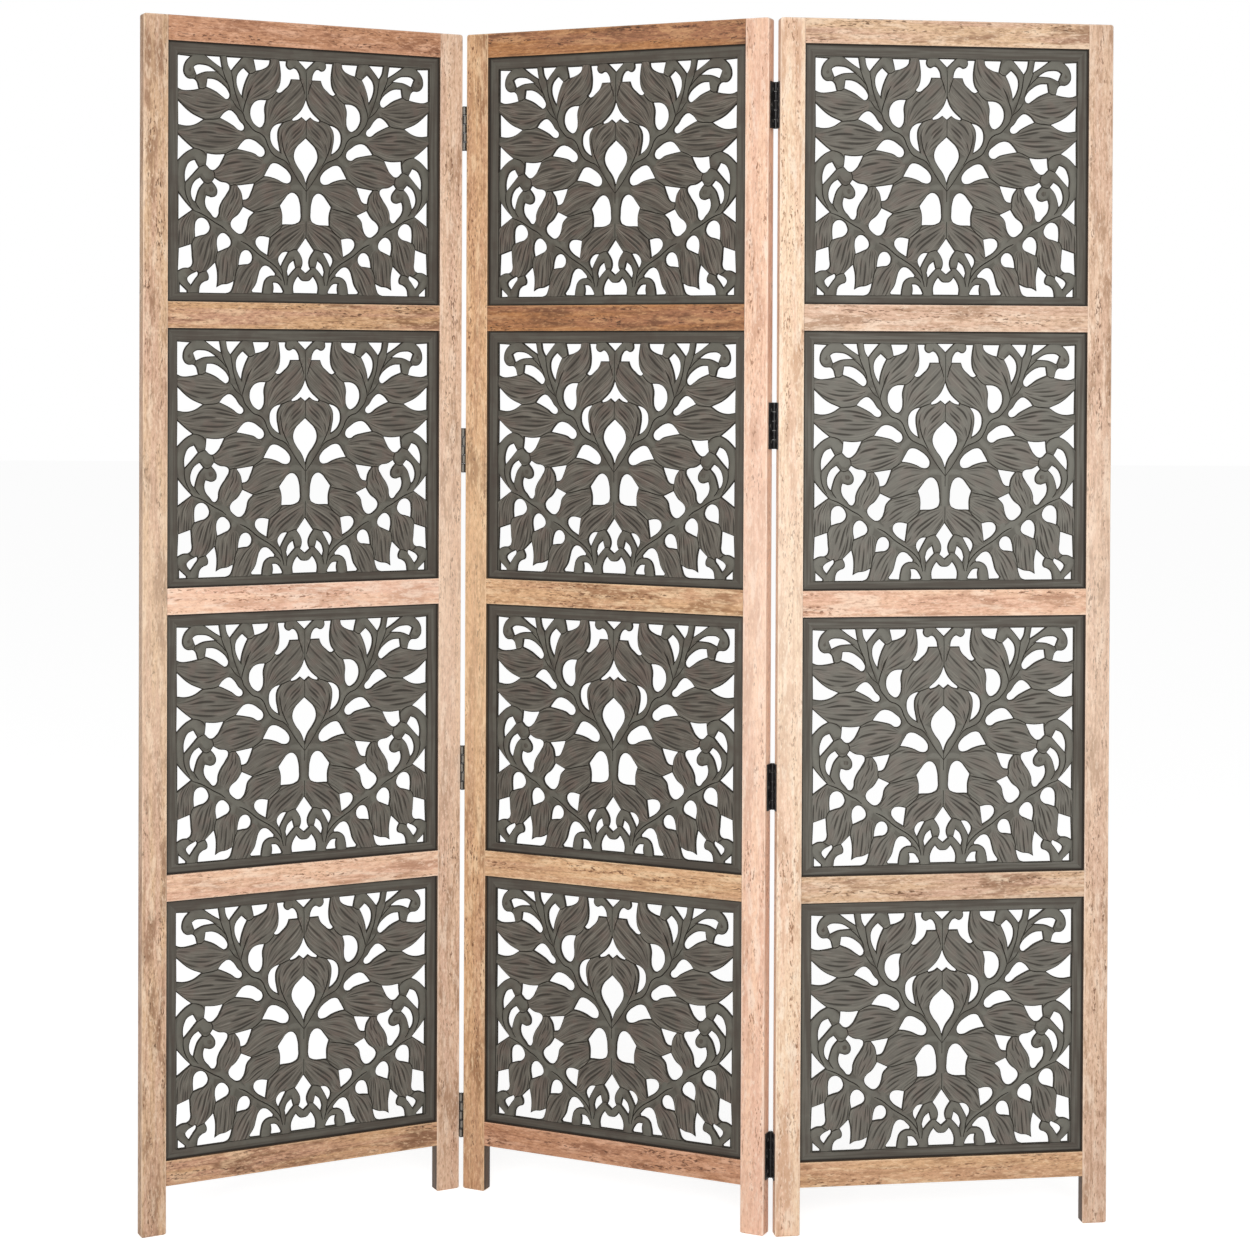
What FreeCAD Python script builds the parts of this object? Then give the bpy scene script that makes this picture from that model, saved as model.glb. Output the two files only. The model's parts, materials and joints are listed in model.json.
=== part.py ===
"""Three-leaf folding jali screen: mango-wood frames, pierced leaf tracery, steel butt hinges.

Each leaf is a frame of two stiles and five rails, joined by stub tenons in a groove that
runs down the stiles. The same groove holds the edges of four pierced carvings. The left pair
of leaves is hinged at the front face and the right pair at the back face, so the screen
folds like a letter Z.

Every leaf is drawn in its own frame first: x across it from its left edge, y from its
front face to its back face, z up from the floor. The screen stands with the middle of its
footprint at the origin, and its front looks along -Y.
"""
import FreeCAD, Part
import math
import os

from FreeCAD import Placement, Rotation, Vector

# Frame of one leaf, in millimetres
leaf_height = 1829.0
leaf_width = 515.0
leaf_thickness = 20.0
foot_height = 73.0
foot_chamfer = 2.5
stile_width = 38.0
end_rail_height = 38.0
middle_rail_height = 40.0

# Grooves that hold the carvings and the rails' stub tenons
groove_depth = 8.0
groove_end_margin = 8.0
groove_side_play = 0.15
groove_floor_play = 0.3
carving_thickness = 8.0

# Butt hinges on the edges of the stiles. Their barrels are drawn with flats and in three
# knuckles; the bought hinge is round, with five.
hinge_height = 70.0
hinge_plate_thickness = 1.5
hinge_plate_margin = 5.0
knuckle_radius = 2.75
knuckle_end_play = 0.2
knuckle_notch_play = 0.4
barrel_clearance = 0.4
pin_radius = 1.5
pin_running_play = 0.05
knuckle_count = 3
barrel_flats = 12

# How the screen stands, in degrees: how far each pair of leaves is folded from flat
left_fold_angle = 52.5
right_fold_angle = 33.0
centre_leaf_yaw = -25.0

# Middle of each hinge, as a share of the leaf's height
left_hinge_height_shares = (0.064, 0.366, 0.641, 0.919)
right_hinge_height_shares = (0.065, 0.369, 0.666, 0.929)

# Openings of the tracery, one list of corners each. A corner is a share of half the frame
# opening's width, out from the middle, and a share of its height, up from the rail below.
# Side openings are cut on both sides of the middle.
side_opening_shares = {
    "corner_sweep": [(0.922, 0.948), (0.836, 0.943), (0.884, 0.895), (0.858, 0.860),
                     (0.780, 0.830), (0.905, 0.818)],
    "crown_bud": [(0.196, 0.948), (0.143, 0.945), (0.046, 0.882), (0.118, 0.875),
                  (0.205, 0.825)],
    "upper_sickle": [(0.455, 0.912), (0.417, 0.890), (0.473, 0.803), (0.505, 0.865)],
    "shoulder_sickle": [(0.716, 0.863), (0.610, 0.846), (0.557, 0.795), (0.720, 0.829)],
    "upper_drop": [(0.292, 0.792), (0.402, 0.762), (0.360, 0.688), (0.302, 0.705)],
    "upper_edge_gap": [(0.920, 0.772), (0.742, 0.705), (0.835, 0.680), (0.920, 0.681)],
    "shoulder_drop": [(0.622, 0.713), (0.545, 0.748), (0.450, 0.685), (0.480, 0.667)],
    "heart_sickle": [(0.178, 0.704), (0.254, 0.682), (0.257, 0.632), (0.190, 0.592)],
    "waist_drop": [(0.498, 0.596), (0.425, 0.638), (0.300, 0.605), (0.325, 0.568)],
    "waist_kite": [(0.714, 0.574), (0.588, 0.574), (0.678, 0.511), (0.722, 0.530)],
    "inner_drop": [(0.303, 0.496), (0.240, 0.552), (0.108, 0.498), (0.135, 0.468)],
    "scroll_gap": [(0.668, 0.477), (0.555, 0.456), (0.648, 0.326), (0.727, 0.373),
                   (0.716, 0.411), (0.648, 0.420)],
    "stem_gap": [(0.188, 0.382), (0.100, 0.434), (0.030, 0.400), (0.035, 0.322),
                 (0.172, 0.309)],
    "lower_bud": [(0.455, 0.372), (0.380, 0.352), (0.436, 0.284), (0.480, 0.267),
                  (0.545, 0.302)],
    "lower_edge_gap": [(0.912, 0.206), (0.826, 0.221), (0.822, 0.134), (0.918, 0.120)],
    "lower_drop": [(0.797, 0.250), (0.796, 0.306), (0.752, 0.324), (0.693, 0.290)],
    "root_sweep": [(0.655, 0.152), (0.712, 0.100), (0.766, 0.062), (0.750, 0.040),
                   (0.555, 0.040), (0.520, 0.082), (0.640, 0.074)],
    "root_arch": [(0.222, 0.113), (0.300, 0.148), (0.392, 0.041), (0.316, 0.041),
                  (0.285, 0.098)],
}

# Openings on the middle line, as the corners of their left half from the top down
middle_opening_shares = {
    "crown": [(0.0, 0.800), (0.100, 0.721)],
    "heart": [(0.0, 0.650), (0.062, 0.617), (0.088, 0.577), (0.0, 0.474)],
    "spear": [(0.0, 0.257), (0.055, 0.213), (0.018, 0.134)],
    "fountain": [(0.0, 0.087), (0.058, 0.104), (0.090, 0.070), (0.087, 0.041)],
}

# Names of the rails and carvings of one leaf, from the floor up
rail_names = ("bottom", "lower", "middle", "upper", "top")
carving_names = ("bottom", "lower", "upper", "top")

# Sizes that follow
opening_width = leaf_width - 2 * stile_width
rails_height = 2 * end_rail_height + (len(rail_names) - 2) * middle_rail_height
opening_height = (leaf_height - foot_height - rails_height) / len(carving_names)
groove_width = carving_thickness + 2 * groove_side_play
tenon_length = groove_depth - groove_floor_play
corner_factor = 1 / math.cos(math.pi / barrel_flats)
half_edge_gap = knuckle_radius
barrel_reach = knuckle_radius * corner_factor + barrel_clearance
barrel_proud = math.sqrt(barrel_reach ** 2 - half_edge_gap ** 2)

UP = Vector(0, 0, 1)


def block(low, high):
    """A box between two opposite corners, each given as (x, y, z)."""
    size = [b - a for a, b in zip(low, high)]
    return Part.makeBox(*size, Vector(*low))


def middle_band(width):
    """Front and back of a band of this width, centred in the leaf's thickness."""
    front = (leaf_thickness - width) / 2
    return front, front + width


def rail_rows():
    """Name, underside and top of each rail, from the lowest up."""
    rows = []
    base = foot_height
    for name in rail_names:
        is_end = name in (rail_names[0], rail_names[-1])
        height = end_rail_height if is_end else middle_rail_height
        rows.append((name, base, base + height))
        base += height + opening_height
    return rows


def stile(inner_x, outer_x):
    """A stile from the floor to the top, with a stopped groove in its inner edge."""
    low_x, high_x = sorted((inner_x, outer_x))
    body = block((low_x, 0, 0), (high_x, leaf_thickness, leaf_height))
    floor_edges = [edge for edge in body.Edges if edge.BoundBox.ZMax < foot_chamfer]
    body = body.makeChamfer(foot_chamfer, floor_edges)
    groove_floor_x = inner_x + math.copysign(groove_depth, outer_x - inner_x)
    groove_low_x, groove_high_x = sorted((inner_x, groove_floor_x))
    front, back = middle_band(groove_width)
    groove = block((groove_low_x, front, foot_height + groove_end_margin),
                   (groove_high_x, back, leaf_height - groove_end_margin))
    return body.cut(groove)


def rail(underside, top, carving_below, carving_above):
    """A rail between the stiles, grooved beside each carving, with a stub tenon each end."""
    low_x = stile_width
    high_x = leaf_width - stile_width
    body = block((low_x, 0, underside), (high_x, leaf_thickness, top))
    front, back = middle_band(groove_width)
    tenon_low = underside + groove_end_margin
    tenon_high = top - groove_end_margin
    if carving_below:
        tenon_low = underside + groove_depth
        body = body.cut(block((low_x, front, underside), (high_x, back, tenon_low)))
    if carving_above:
        tenon_high = top - groove_depth
        body = body.cut(block((low_x, front, tenon_high), (high_x, back, top)))
    front, back = middle_band(carving_thickness)
    for start_x, end_x in ((low_x - tenon_length, low_x), (high_x, high_x + tenon_length)):
        body = body.fuse(block((start_x, front, tenon_low), (end_x, back, tenon_high)))
    return body.removeSplitter()


def outline(points):
    """A closed wire through the points."""
    return Part.makePolygon(points + points[:1])


def opening_corner(side, across_share, up_share, base):
    """Where a corner of the tracery lies, on the front face of the carving."""
    x = (leaf_width + side * across_share * opening_width) / 2
    return Vector(x, middle_band(carving_thickness)[0], base + up_share * opening_height)


def tracery_openings(base):
    """The outlines of all openings of the carving whose frame opening starts at base."""
    wires = []
    for corners in side_opening_shares.values():
        for side in (-1, 1):
            wires.append(outline([opening_corner(side, *corner, base) for corner in corners]))
    for corners in middle_opening_shares.values():
        left = [opening_corner(-1, *corner, base) for corner in corners]
        right = [opening_corner(1, *corner, base) for corner in reversed(corners) if corner[0]]
        wires.append(outline(left + right))
    return wires


def carving(base):
    """A pierced board that fills one opening of the frame and sits in its grooves."""
    front, back = middle_band(carving_thickness)
    low_x = stile_width - tenon_length
    high_x = leaf_width - stile_width + tenon_length
    low_z = base - tenon_length
    high_z = base + opening_height + tenon_length
    corners = [(low_x, low_z), (high_x, low_z), (high_x, high_z), (low_x, high_z)]
    edge = outline([Vector(x, front, z) for x, z in corners])
    board = Part.Face([edge] + tracery_openings(base))
    return board.extrude(Vector(0, back - front, 0))


def leaf_pieces():
    """The pieces of one leaf by name, in the leaf's own frame."""
    pieces = {
        "left_stile": stile(stile_width, 0),
        "right_stile": stile(leaf_width - stile_width, leaf_width),
    }
    rows = rail_rows()
    for row, (name, underside, top) in enumerate(rows):
        pieces[name + "_rail"] = rail(underside, top, row > 0, row < len(carving_names))
    for name, rail_below in zip(carving_names, rows):
        pieces[name + "_carving"] = carving(rail_below[-1])
    return pieces


def across(yaw):
    """Direction from a leaf's left edge to its right edge, seen from above."""
    return Vector(math.cos(math.radians(yaw)), math.sin(math.radians(yaw)), 0)


def inward(yaw):
    """Direction from a leaf's front face to its back face."""
    return Vector(-math.sin(math.radians(yaw)), math.cos(math.radians(yaw)), 0)


def leaf_places():
    """Yaw and left front foot of each leaf, and both hinge axes, round the middle of the plan."""
    yaws = {
        "left_leaf": centre_leaf_yaw + left_fold_angle,
        "centre_leaf": centre_leaf_yaw,
        "right_leaf": centre_leaf_yaw + right_fold_angle,
    }
    left, centre, right = yaws.values()
    centre_foot = Vector(0, 0, 0)
    front_pin = centre_foot - across(centre) * half_edge_gap - inward(centre) * barrel_proud
    left_edge = front_pin - across(left) * half_edge_gap + inward(left) * barrel_proud
    left_foot = left_edge - across(left) * leaf_width
    pin_depth = leaf_thickness + barrel_proud
    back_pin = centre_foot + across(centre) * (leaf_width + half_edge_gap) + inward(centre) * pin_depth
    right_foot = back_pin + across(right) * half_edge_gap - inward(right) * pin_depth
    feet = {"left_leaf": left_foot, "centre_leaf": centre_foot, "right_leaf": right_foot}
    corners = []
    for name, foot in feet.items():
        for width in (0, leaf_width):
            for depth in (0, leaf_thickness):
                corners.append(foot + across(yaws[name]) * width + inward(yaws[name]) * depth)
    middle = Vector(
        (min(c.x for c in corners) + max(c.x for c in corners)) / 2,
        (min(c.y for c in corners) + max(c.y for c in corners)) / 2,
        0,
    )
    feet = {name: foot - middle for name, foot in feet.items()}
    return yaws, feet, front_pin - middle, back_pin - middle


def knuckle_span(index):
    """Lower and upper end of one knuckle, measured up from the hinge's lower end."""
    pitch = hinge_height / knuckle_count
    low = index * pitch
    high = low + pitch
    if index > 0:
        low += knuckle_end_play / 2
    if index < knuckle_count - 1:
        high -= knuckle_end_play / 2
    return low, high


def column(points, low, high):
    """An upright prism on a plan outline, between two heights."""
    solid = Part.Face(outline(points)).extrude(UP * (high - low))
    solid.translate(UP * low)
    return solid


def round_of_flats(axis, out, radius):
    """Plan outline of a small round: flats that touch the radius, the first square to out."""
    corners = []
    for index in range(barrel_flats):
        turn = Rotation(UP, (index + 0.5) * 360 / barrel_flats)
        corners.append(axis + turn.multVec(out) * (radius * corner_factor))
    return corners


def hinge_plate(axis, out, depth, middle_z, first_knuckle):
    """One half of a hinge: a plate on the stile's edge, rolled into every second knuckle.

    out points from the axis across to the stile, and depth from the barrel into its edge.
    """
    outer = half_edge_gap
    inner = half_edge_gap - hinge_plate_thickness
    reach = barrel_proud + leaf_thickness - hinge_plate_margin

    def strip(start):
        corners = [(outer, start), (outer, reach), (inner, reach), (inner, start)]
        return [axis + out * u + depth * w for u, w in corners]

    low_end = middle_z - hinge_height / 2
    high_end = middle_z + hinge_height / 2
    notched = strip(knuckle_radius * corner_factor + knuckle_notch_play)
    plate = column(notched, low_end, high_end)
    for index in range(first_knuckle, knuckle_count, 2):
        low, high = [low_end + height for height in knuckle_span(index)]
        plate = plate.fuse(column(strip(0), low, high))
        plate = plate.fuse(column(round_of_flats(axis, out, knuckle_radius), low, high))
    bore_radius = pin_radius * corner_factor + pin_running_play
    bore = column(round_of_flats(axis, out, bore_radius), low_end, high_end)
    return plate.cut(bore).removeSplitter()


def hinge_pin(axis, out, middle_z):
    """A plain pin, as long as the hinge."""
    flats = round_of_flats(axis, out, pin_radius)
    return column(flats, middle_z - hinge_height / 2, middle_z + hinge_height / 2)


def hinge_pieces(yaws, front_pin, back_pin):
    """The hinge plates and pins of both joints, each kind as one group of separate solids."""
    left, centre, right = yaws.values()
    rows = [
        ("left_hinge", front_pin, left_hinge_height_shares,
         (across(left) * -1, inward(left)), (across(centre), inward(centre))),
        ("right_hinge", back_pin, right_hinge_height_shares,
         (across(right), inward(right) * -1), (across(centre) * -1, inward(centre) * -1)),
    ]
    pieces = {}
    for name, axis, shares, outer_side, centre_side in rows:
        heights = [share * leaf_height for share in shares]
        outer_plates = [hinge_plate(axis, *outer_side, z, 1) for z in heights]
        centre_plates = [hinge_plate(axis, *centre_side, z, 0) for z in heights]
        pins = [hinge_pin(axis, centre_side[0], z) for z in heights]
        pieces[name + "_outer_plates"] = Part.makeCompound(outer_plates)
        pieces[name + "_centre_plates"] = Part.makeCompound(centre_plates)
        pieces[name + "_pins"] = Part.makeCompound(pins)
    return pieces


def main():
    """Build every piece where it stands and write one STEP file for each."""
    os.makedirs("parts", exist_ok=True)
    yaws, feet, front_pin, back_pin = leaf_places()
    pieces = {}
    for leaf_name, yaw in yaws.items():
        for piece_name, shape in leaf_pieces().items():
            stood = shape.copy()
            stood.Placement = Placement(feet[leaf_name], Rotation(UP, yaw)) * stood.Placement
            pieces[leaf_name + "_" + piece_name] = stood
    pieces.update(hinge_pieces(yaws, front_pin, back_pin))
    for name, shape in pieces.items():
        shape.exportStep("parts/" + name + ".step")
    print("pieces", len(pieces))
    print("opening", round(opening_width, 2), "x", round(opening_height, 2))
    print("front pin", front_pin, "back pin", back_pin)
    for name, foot in feet.items():
        print(name, "yaw", yaws[name], "foot", foot)


main()
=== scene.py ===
"""Dresses a folding jali screen: carved boards, planed timber frames and black butt hinges.

Each leaf is described in its own frame: x across it from its left edge, y from its front face
to its back face, z up from the floor. A carved board is described from the foot of its opening's
middle line: x sideways, y as in the leaf, z up from the rail below. A hinge is described from its
pin: x out to the stile, y from the barrel into the stile's edge, z up. All sizes are in metres.
"""
import json
import math
import random

import bmesh
import bpy
from mathutils import Matrix, Vector


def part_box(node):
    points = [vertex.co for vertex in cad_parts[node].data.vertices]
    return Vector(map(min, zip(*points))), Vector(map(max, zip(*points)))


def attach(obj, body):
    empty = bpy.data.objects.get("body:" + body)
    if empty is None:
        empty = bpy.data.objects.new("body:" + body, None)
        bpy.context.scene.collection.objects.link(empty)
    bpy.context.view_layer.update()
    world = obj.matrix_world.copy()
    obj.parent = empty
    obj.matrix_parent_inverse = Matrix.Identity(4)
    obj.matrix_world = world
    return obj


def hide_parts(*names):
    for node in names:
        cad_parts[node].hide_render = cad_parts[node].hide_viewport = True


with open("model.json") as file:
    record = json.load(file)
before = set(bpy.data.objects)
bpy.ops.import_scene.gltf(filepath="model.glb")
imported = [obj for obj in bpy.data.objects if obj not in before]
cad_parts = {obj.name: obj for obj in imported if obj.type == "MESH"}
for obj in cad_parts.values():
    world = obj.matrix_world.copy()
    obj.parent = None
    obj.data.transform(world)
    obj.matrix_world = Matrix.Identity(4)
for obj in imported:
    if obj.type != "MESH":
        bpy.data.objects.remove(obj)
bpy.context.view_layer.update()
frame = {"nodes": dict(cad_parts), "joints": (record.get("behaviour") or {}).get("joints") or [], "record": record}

bl_info = {
    "name": "Folding Jali Screen",
    "version": (1, 0, 0),
    "blender": (4, 5, 0),
    "location": "View3D > Sidebar > Jali Screen",
    "description": "Carved boards, timber frames and hinges of a folding jali screen",
    "category": "Object",
}

MM = 0.001
LEAVES = ("left_leaf", "centre_leaf", "right_leaf")
RAILS = ("bottom", "lower", "middle", "upper", "top")
BOARDS = ("bottom", "lower", "upper", "top")

STILE_WIDTH = 38 * MM
LEAF_THICKNESS = 20 * MM
BOARD_THICKNESS = 8 * MM
BOARD_FRONT = (LEAF_THICKNESS - BOARD_THICKNESS) / 2
BOARD_BACK = BOARD_FRONT + BOARD_THICKNESS
MERGE_DISTANCE = 0.01 * MM

# Faces that meet at more than this keep a crease, in degrees
BOARD_CREASE = 38
TIMBER_CREASE = 35
HINGE_CREASE = 32

# Shape of a leaf: how evenly it is rounded across and how soon it fills out from base and tip, as
# exponents, how far its veins spread at the base and how much more at the tip, and their waver
LEAF_ROUNDNESS = 2.6
LEAF_FULLNESS = 0.6
VEIN_SPREAD = 0.55
VEIN_SPREAD_GAIN = 0.85
VEIN_WAVER = 0.07
VEIN_WAVES = 5

# Gouge cuts of a leaf. Where they start and how long they are is told as shares of the leaf's
# length, and how they are moved sideways and how wide they are as shares of their spacing. The
# fullness is the exponent of how they deepen from their ends.
GOUGE_FAN_REACH = 2.0
GOUGE_FIRST_START = (-0.1, 0.2)
GOUGE_LAST_START = 0.85
GOUGE_LENGTH = (0.28, 0.6)
GOUGE_SHIFT = (-0.12, 0.12)
GOUGE_STRENGTH = (0.45, 1.0)
GOUGE_GAP = (0.0, 0.12)
GOUGE_STEP = (0.7, 1.4)
GOUGE_HALF_WIDTH = 0.24
GOUGE_FULLNESS = 0.6

# Screws of a hinge flap: how deep the outer two and the middle one sit in the stile's edge, as
# shares of its thickness, and how far apart they are, as a share of the hinge's height
OUTER_SCREW_SHARE = 0.32
MIDDLE_SCREW_SHARE = 0.52
SCREW_SPACING_SHARE = 0.34

# The photograph's camera, from a fit to the screen's edges: pixels, metres and degrees
PHOTO_SIZE = 1250
FOCAL_LENGTH = 2520.3
VIEW_CENTRE = (645.9, 395.1)
CAMERA_PLACE = (0.0243, -3.8779, 1.3070)
CAMERA_TILT_DOWN = 0.66
CAMERA_ROLL = 0.247
SENSOR_WIDTH_MM = 36

# The lamp above and behind the camera, and the floor, in metres
KEY_LAMP_SIZE = (5.0, 3.0)
KEY_LAMP_PLACE = (-0.4, -5.0, 2.2)
KEY_LAMP_TARGET = (0, 0, 0.9)
FLOOR_REACH = 30

# Inner edge of a board's border, in the same shares as the openings below
BORDER_SIDE_SHARE = 0.926
BORDER_LOW_SHARE = 0.034
BORDER_HIGH_SHARE = 0.955

# Openings of the tracery on the left half, as shares of half the frame opening's width, out from
# the middle, and of its height. Each opening is a ring of stretches, and a stretch starts at a
# sharp corner and runs round to the next one.
SIDE_OPENING_SHARES = (
    ([(0.922, 0.948)], [(0.836, 0.945), (0.868, 0.925), (0.884, 0.895), (0.877, 0.875),
                        (0.850, 0.860), (0.800, 0.856)],
     [(0.775, 0.822), (0.83, 0.816), (0.89, 0.815)], [(0.922, 0.822)]),
    ([(0.810, 0.905), (0.79, 0.913), (0.745, 0.915), (0.70, 0.910)],
     [(0.652, 0.893), (0.69, 0.892), (0.735, 0.889)], [(0.79, 0.876), (0.80, 0.89)]),
    ([(0.72, 0.95)], [(0.625, 0.95)], [(0.612, 0.908), (0.66, 0.925)]),
    ([(0.575, 0.95)], [(0.472, 0.95), (0.51, 0.925)], [(0.545, 0.900), (0.565, 0.92)]),
    ([(0.455, 0.912)], [(0.417, 0.892), (0.44, 0.865), (0.46, 0.83)],
     [(0.468, 0.803), (0.49, 0.825), (0.505, 0.86), (0.497, 0.885), (0.475, 0.902)]),
    ([(0.382, 0.948)], [(0.266, 0.948), (0.274, 0.930), (0.32, 0.912)],
     [(0.365, 0.905), (0.372, 0.925)]),
    ([(0.712, 0.863), (0.66, 0.861), (0.60, 0.842), (0.565, 0.82), (0.555, 0.80), (0.575, 0.788),
      (0.60, 0.795), (0.65, 0.815)], [(0.72, 0.832)]),
    ([(0.196, 0.948)], [(0.146, 0.948), (0.147, 0.930), (0.120, 0.916), (0.085, 0.922),
                        (0.055, 0.905)],
     [(0.045, 0.880)], [(0.110, 0.880), (0.125, 0.858), (0.155, 0.840), (0.20, 0.824)],
     [(0.218, 0.830), (0.195, 0.85), (0.184, 0.885), (0.188, 0.92)]),
    ([(0.290, 0.792), (0.35, 0.789), (0.385, 0.775), (0.405, 0.745), (0.392, 0.71), (0.36, 0.690),
      (0.333, 0.685), (0.308, 0.700), (0.301, 0.725), (0.304, 0.762)],),
    ([(0.920, 0.772), (0.83, 0.728)], [(0.742, 0.705), (0.80, 0.685), (0.86, 0.678)],
     [(0.918, 0.682)]),
    ([(0.622, 0.714), (0.59, 0.735), (0.55, 0.745), (0.515, 0.733), (0.48, 0.705), (0.45, 0.685),
      (0.455, 0.673), (0.478, 0.669), (0.53, 0.688), (0.59, 0.706)],),
    ([(0.177, 0.705), (0.22, 0.697), (0.25, 0.68), (0.26, 0.655), (0.25, 0.625), (0.22, 0.603)],
     [(0.19, 0.592), (0.20, 0.62), (0.208, 0.65), (0.203, 0.68)]),
    ([(0.920, 0.642), (0.86, 0.612)], [(0.815, 0.592), (0.86, 0.578)], [(0.922, 0.545)]),
    ([(0.498, 0.597), (0.465, 0.622), (0.435, 0.635), (0.39, 0.635), (0.335, 0.617),
      (0.302, 0.597), (0.305, 0.578), (0.335, 0.570), (0.375, 0.582), (0.43, 0.590)],),
    ([(0.714, 0.574), (0.65, 0.571)], [(0.588, 0.574), (0.61, 0.548), (0.635, 0.525),
                                       (0.678, 0.511)],
     [(0.722, 0.530), (0.717, 0.55)]),
    ([(0.303, 0.496), (0.275, 0.525), (0.25, 0.544), (0.22, 0.547), (0.17, 0.535), (0.12, 0.510),
      (0.107, 0.49), (0.12, 0.474), (0.15, 0.471), (0.21, 0.485), (0.26, 0.493)],),
    ([(0.802, 0.547), (0.84, 0.537), (0.862, 0.515), (0.871, 0.49)],
     [(0.868, 0.462), (0.83, 0.485)], [(0.775, 0.520)]),
    ([(0.763, 0.480), (0.80, 0.465), (0.823, 0.44), (0.827, 0.415), (0.815, 0.395)],
     [(0.80, 0.386), (0.79, 0.41), (0.77, 0.44)], [(0.737, 0.462)]),
    ([(0.498, 0.454)], [(0.378, 0.464), (0.40, 0.43), (0.425, 0.405)],
     [(0.458, 0.400), (0.47, 0.43)]),
    ([(0.660, 0.480), (0.62, 0.467), (0.565, 0.460), (0.553, 0.450), (0.575, 0.42), (0.61, 0.39),
      (0.628, 0.365), (0.635, 0.337), (0.655, 0.327), (0.69, 0.345), (0.718, 0.365),
      (0.728, 0.39)], [(0.72, 0.411), (0.70, 0.408), (0.68, 0.405), (0.648, 0.413), (0.64, 0.430),
                       (0.648, 0.445)], [(0.677, 0.466)]),
    ([(0.915, 0.416), (0.87, 0.385)], [(0.820, 0.355)], [(0.915, 0.317)]),
    ([(0.188, 0.382), (0.155, 0.408), (0.125, 0.428), (0.095, 0.434), (0.065, 0.425),
      (0.043, 0.395), (0.037, 0.36), (0.038, 0.333), (0.053, 0.319)],
     [(0.172, 0.309), (0.172, 0.35)]),
    ([(0.455, 0.372)], [(0.380, 0.352), (0.415, 0.33), (0.428, 0.30), (0.445, 0.278),
                        (0.475, 0.267), (0.515, 0.277), (0.545, 0.302), (0.535, 0.32),
                        (0.49, 0.342)]),
    ([(0.797, 0.250), (0.799, 0.29), (0.79, 0.312), (0.76, 0.324), (0.725, 0.320), (0.697, 0.298),
      (0.695, 0.282), (0.72, 0.264), (0.76, 0.257)],),
    ([(0.635, 0.196), (0.643, 0.235), (0.63, 0.258), (0.60, 0.268), (0.565, 0.258),
      (0.543, 0.235), (0.55, 0.22), (0.59, 0.207)],),
    ([(0.912, 0.205)], [(0.826, 0.221), (0.821, 0.18), (0.823, 0.14)],
     [(0.845, 0.131), (0.88, 0.13)], [(0.918, 0.120)]),
    ([(0.487, 0.146), (0.477, 0.18), (0.46, 0.198), (0.43, 0.204), (0.402, 0.195), (0.39, 0.172),
      (0.41, 0.153), (0.45, 0.149)],),
    ([(0.264, 0.255), (0.32, 0.260), (0.35, 0.255), (0.365, 0.237), (0.345, 0.213)],
     [(0.28, 0.187), (0.272, 0.22)]),
    ([(0.13, 0.201), (0.16, 0.200), (0.185, 0.19), (0.20, 0.17)], [(0.183, 0.144), (0.17, 0.16)]),
    ([(0.088, 0.168)], [(0.075, 0.140), (0.10, 0.125)], [(0.128, 0.106)],
     [(0.136, 0.125), (0.12, 0.152)]),
    ([(0.828, 0.065), (0.852, 0.086), (0.849, 0.094)], [(0.784, 0.117), (0.777, 0.109),
                                                        (0.800, 0.088)]),
    ([(0.905, 0.067)], [(0.857, 0.042)], [(0.857, 0.036)], [(0.905, 0.036)]),
    ([(0.655, 0.153)], [(0.715, 0.120), (0.70, 0.100), (0.705, 0.085), (0.735, 0.077),
                        (0.758, 0.065)],
     [(0.769, 0.0355)], [(0.577, 0.0355), (0.548, 0.042), (0.530, 0.062)],
     [(0.522, 0.082), (0.565, 0.071), (0.612, 0.067)],
     [(0.645, 0.057), (0.640, 0.085), (0.642, 0.12)]),
    ([(0.222, 0.115), (0.245, 0.130), (0.275, 0.143), (0.305, 0.144), (0.33, 0.130),
      (0.345, 0.105), (0.36, 0.075)], [(0.392, 0.047)], [(0.385, 0.041)],
     [(0.318, 0.040), (0.312, 0.065), (0.295, 0.092), (0.26, 0.106)], [(0.225, 0.108)]),
    ([(0.238, 0.079), (0.205, 0.077), (0.18, 0.062)], [(0.165, 0.045)], [(0.17, 0.041)],
     [(0.237, 0.041), (0.233, 0.060)]),
)

# Openings on the middle line, as the left half of the ring from its top down
MIDDLE_OPENING_SHARES = (
    ([(0, 0.952)], [(0.055, 0.952)], [(0, 0.921)]),
    ([(0, 0.802), (0.018, 0.775), (0.045, 0.752)], [(0.100, 0.723)],
     [(0.096, 0.717), (0.060, 0.7225)], [(0.032, 0.7335)], [(0, 0.7185)]),
    ([(0, 0.650), (0.035, 0.632), (0.065, 0.615), (0.085, 0.59), (0.085, 0.568), (0.06, 0.538),
      (0.03, 0.515), (0.012, 0.495)], [(0, 0.473)]),
    ([(0, 0.257)], [(0.060, 0.209), (0.034, 0.187), (0.022, 0.167), (0.024, 0.150)],
     [(0.034, 0.136)], [(0, 0.120)]),
    ([(0, 0.087), (0.025, 0.089)], [(0.055, 0.106), (0.075, 0.09), (0.09, 0.065)],
     [(0.087, 0.041)], [(0, 0.041)]),
)

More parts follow.
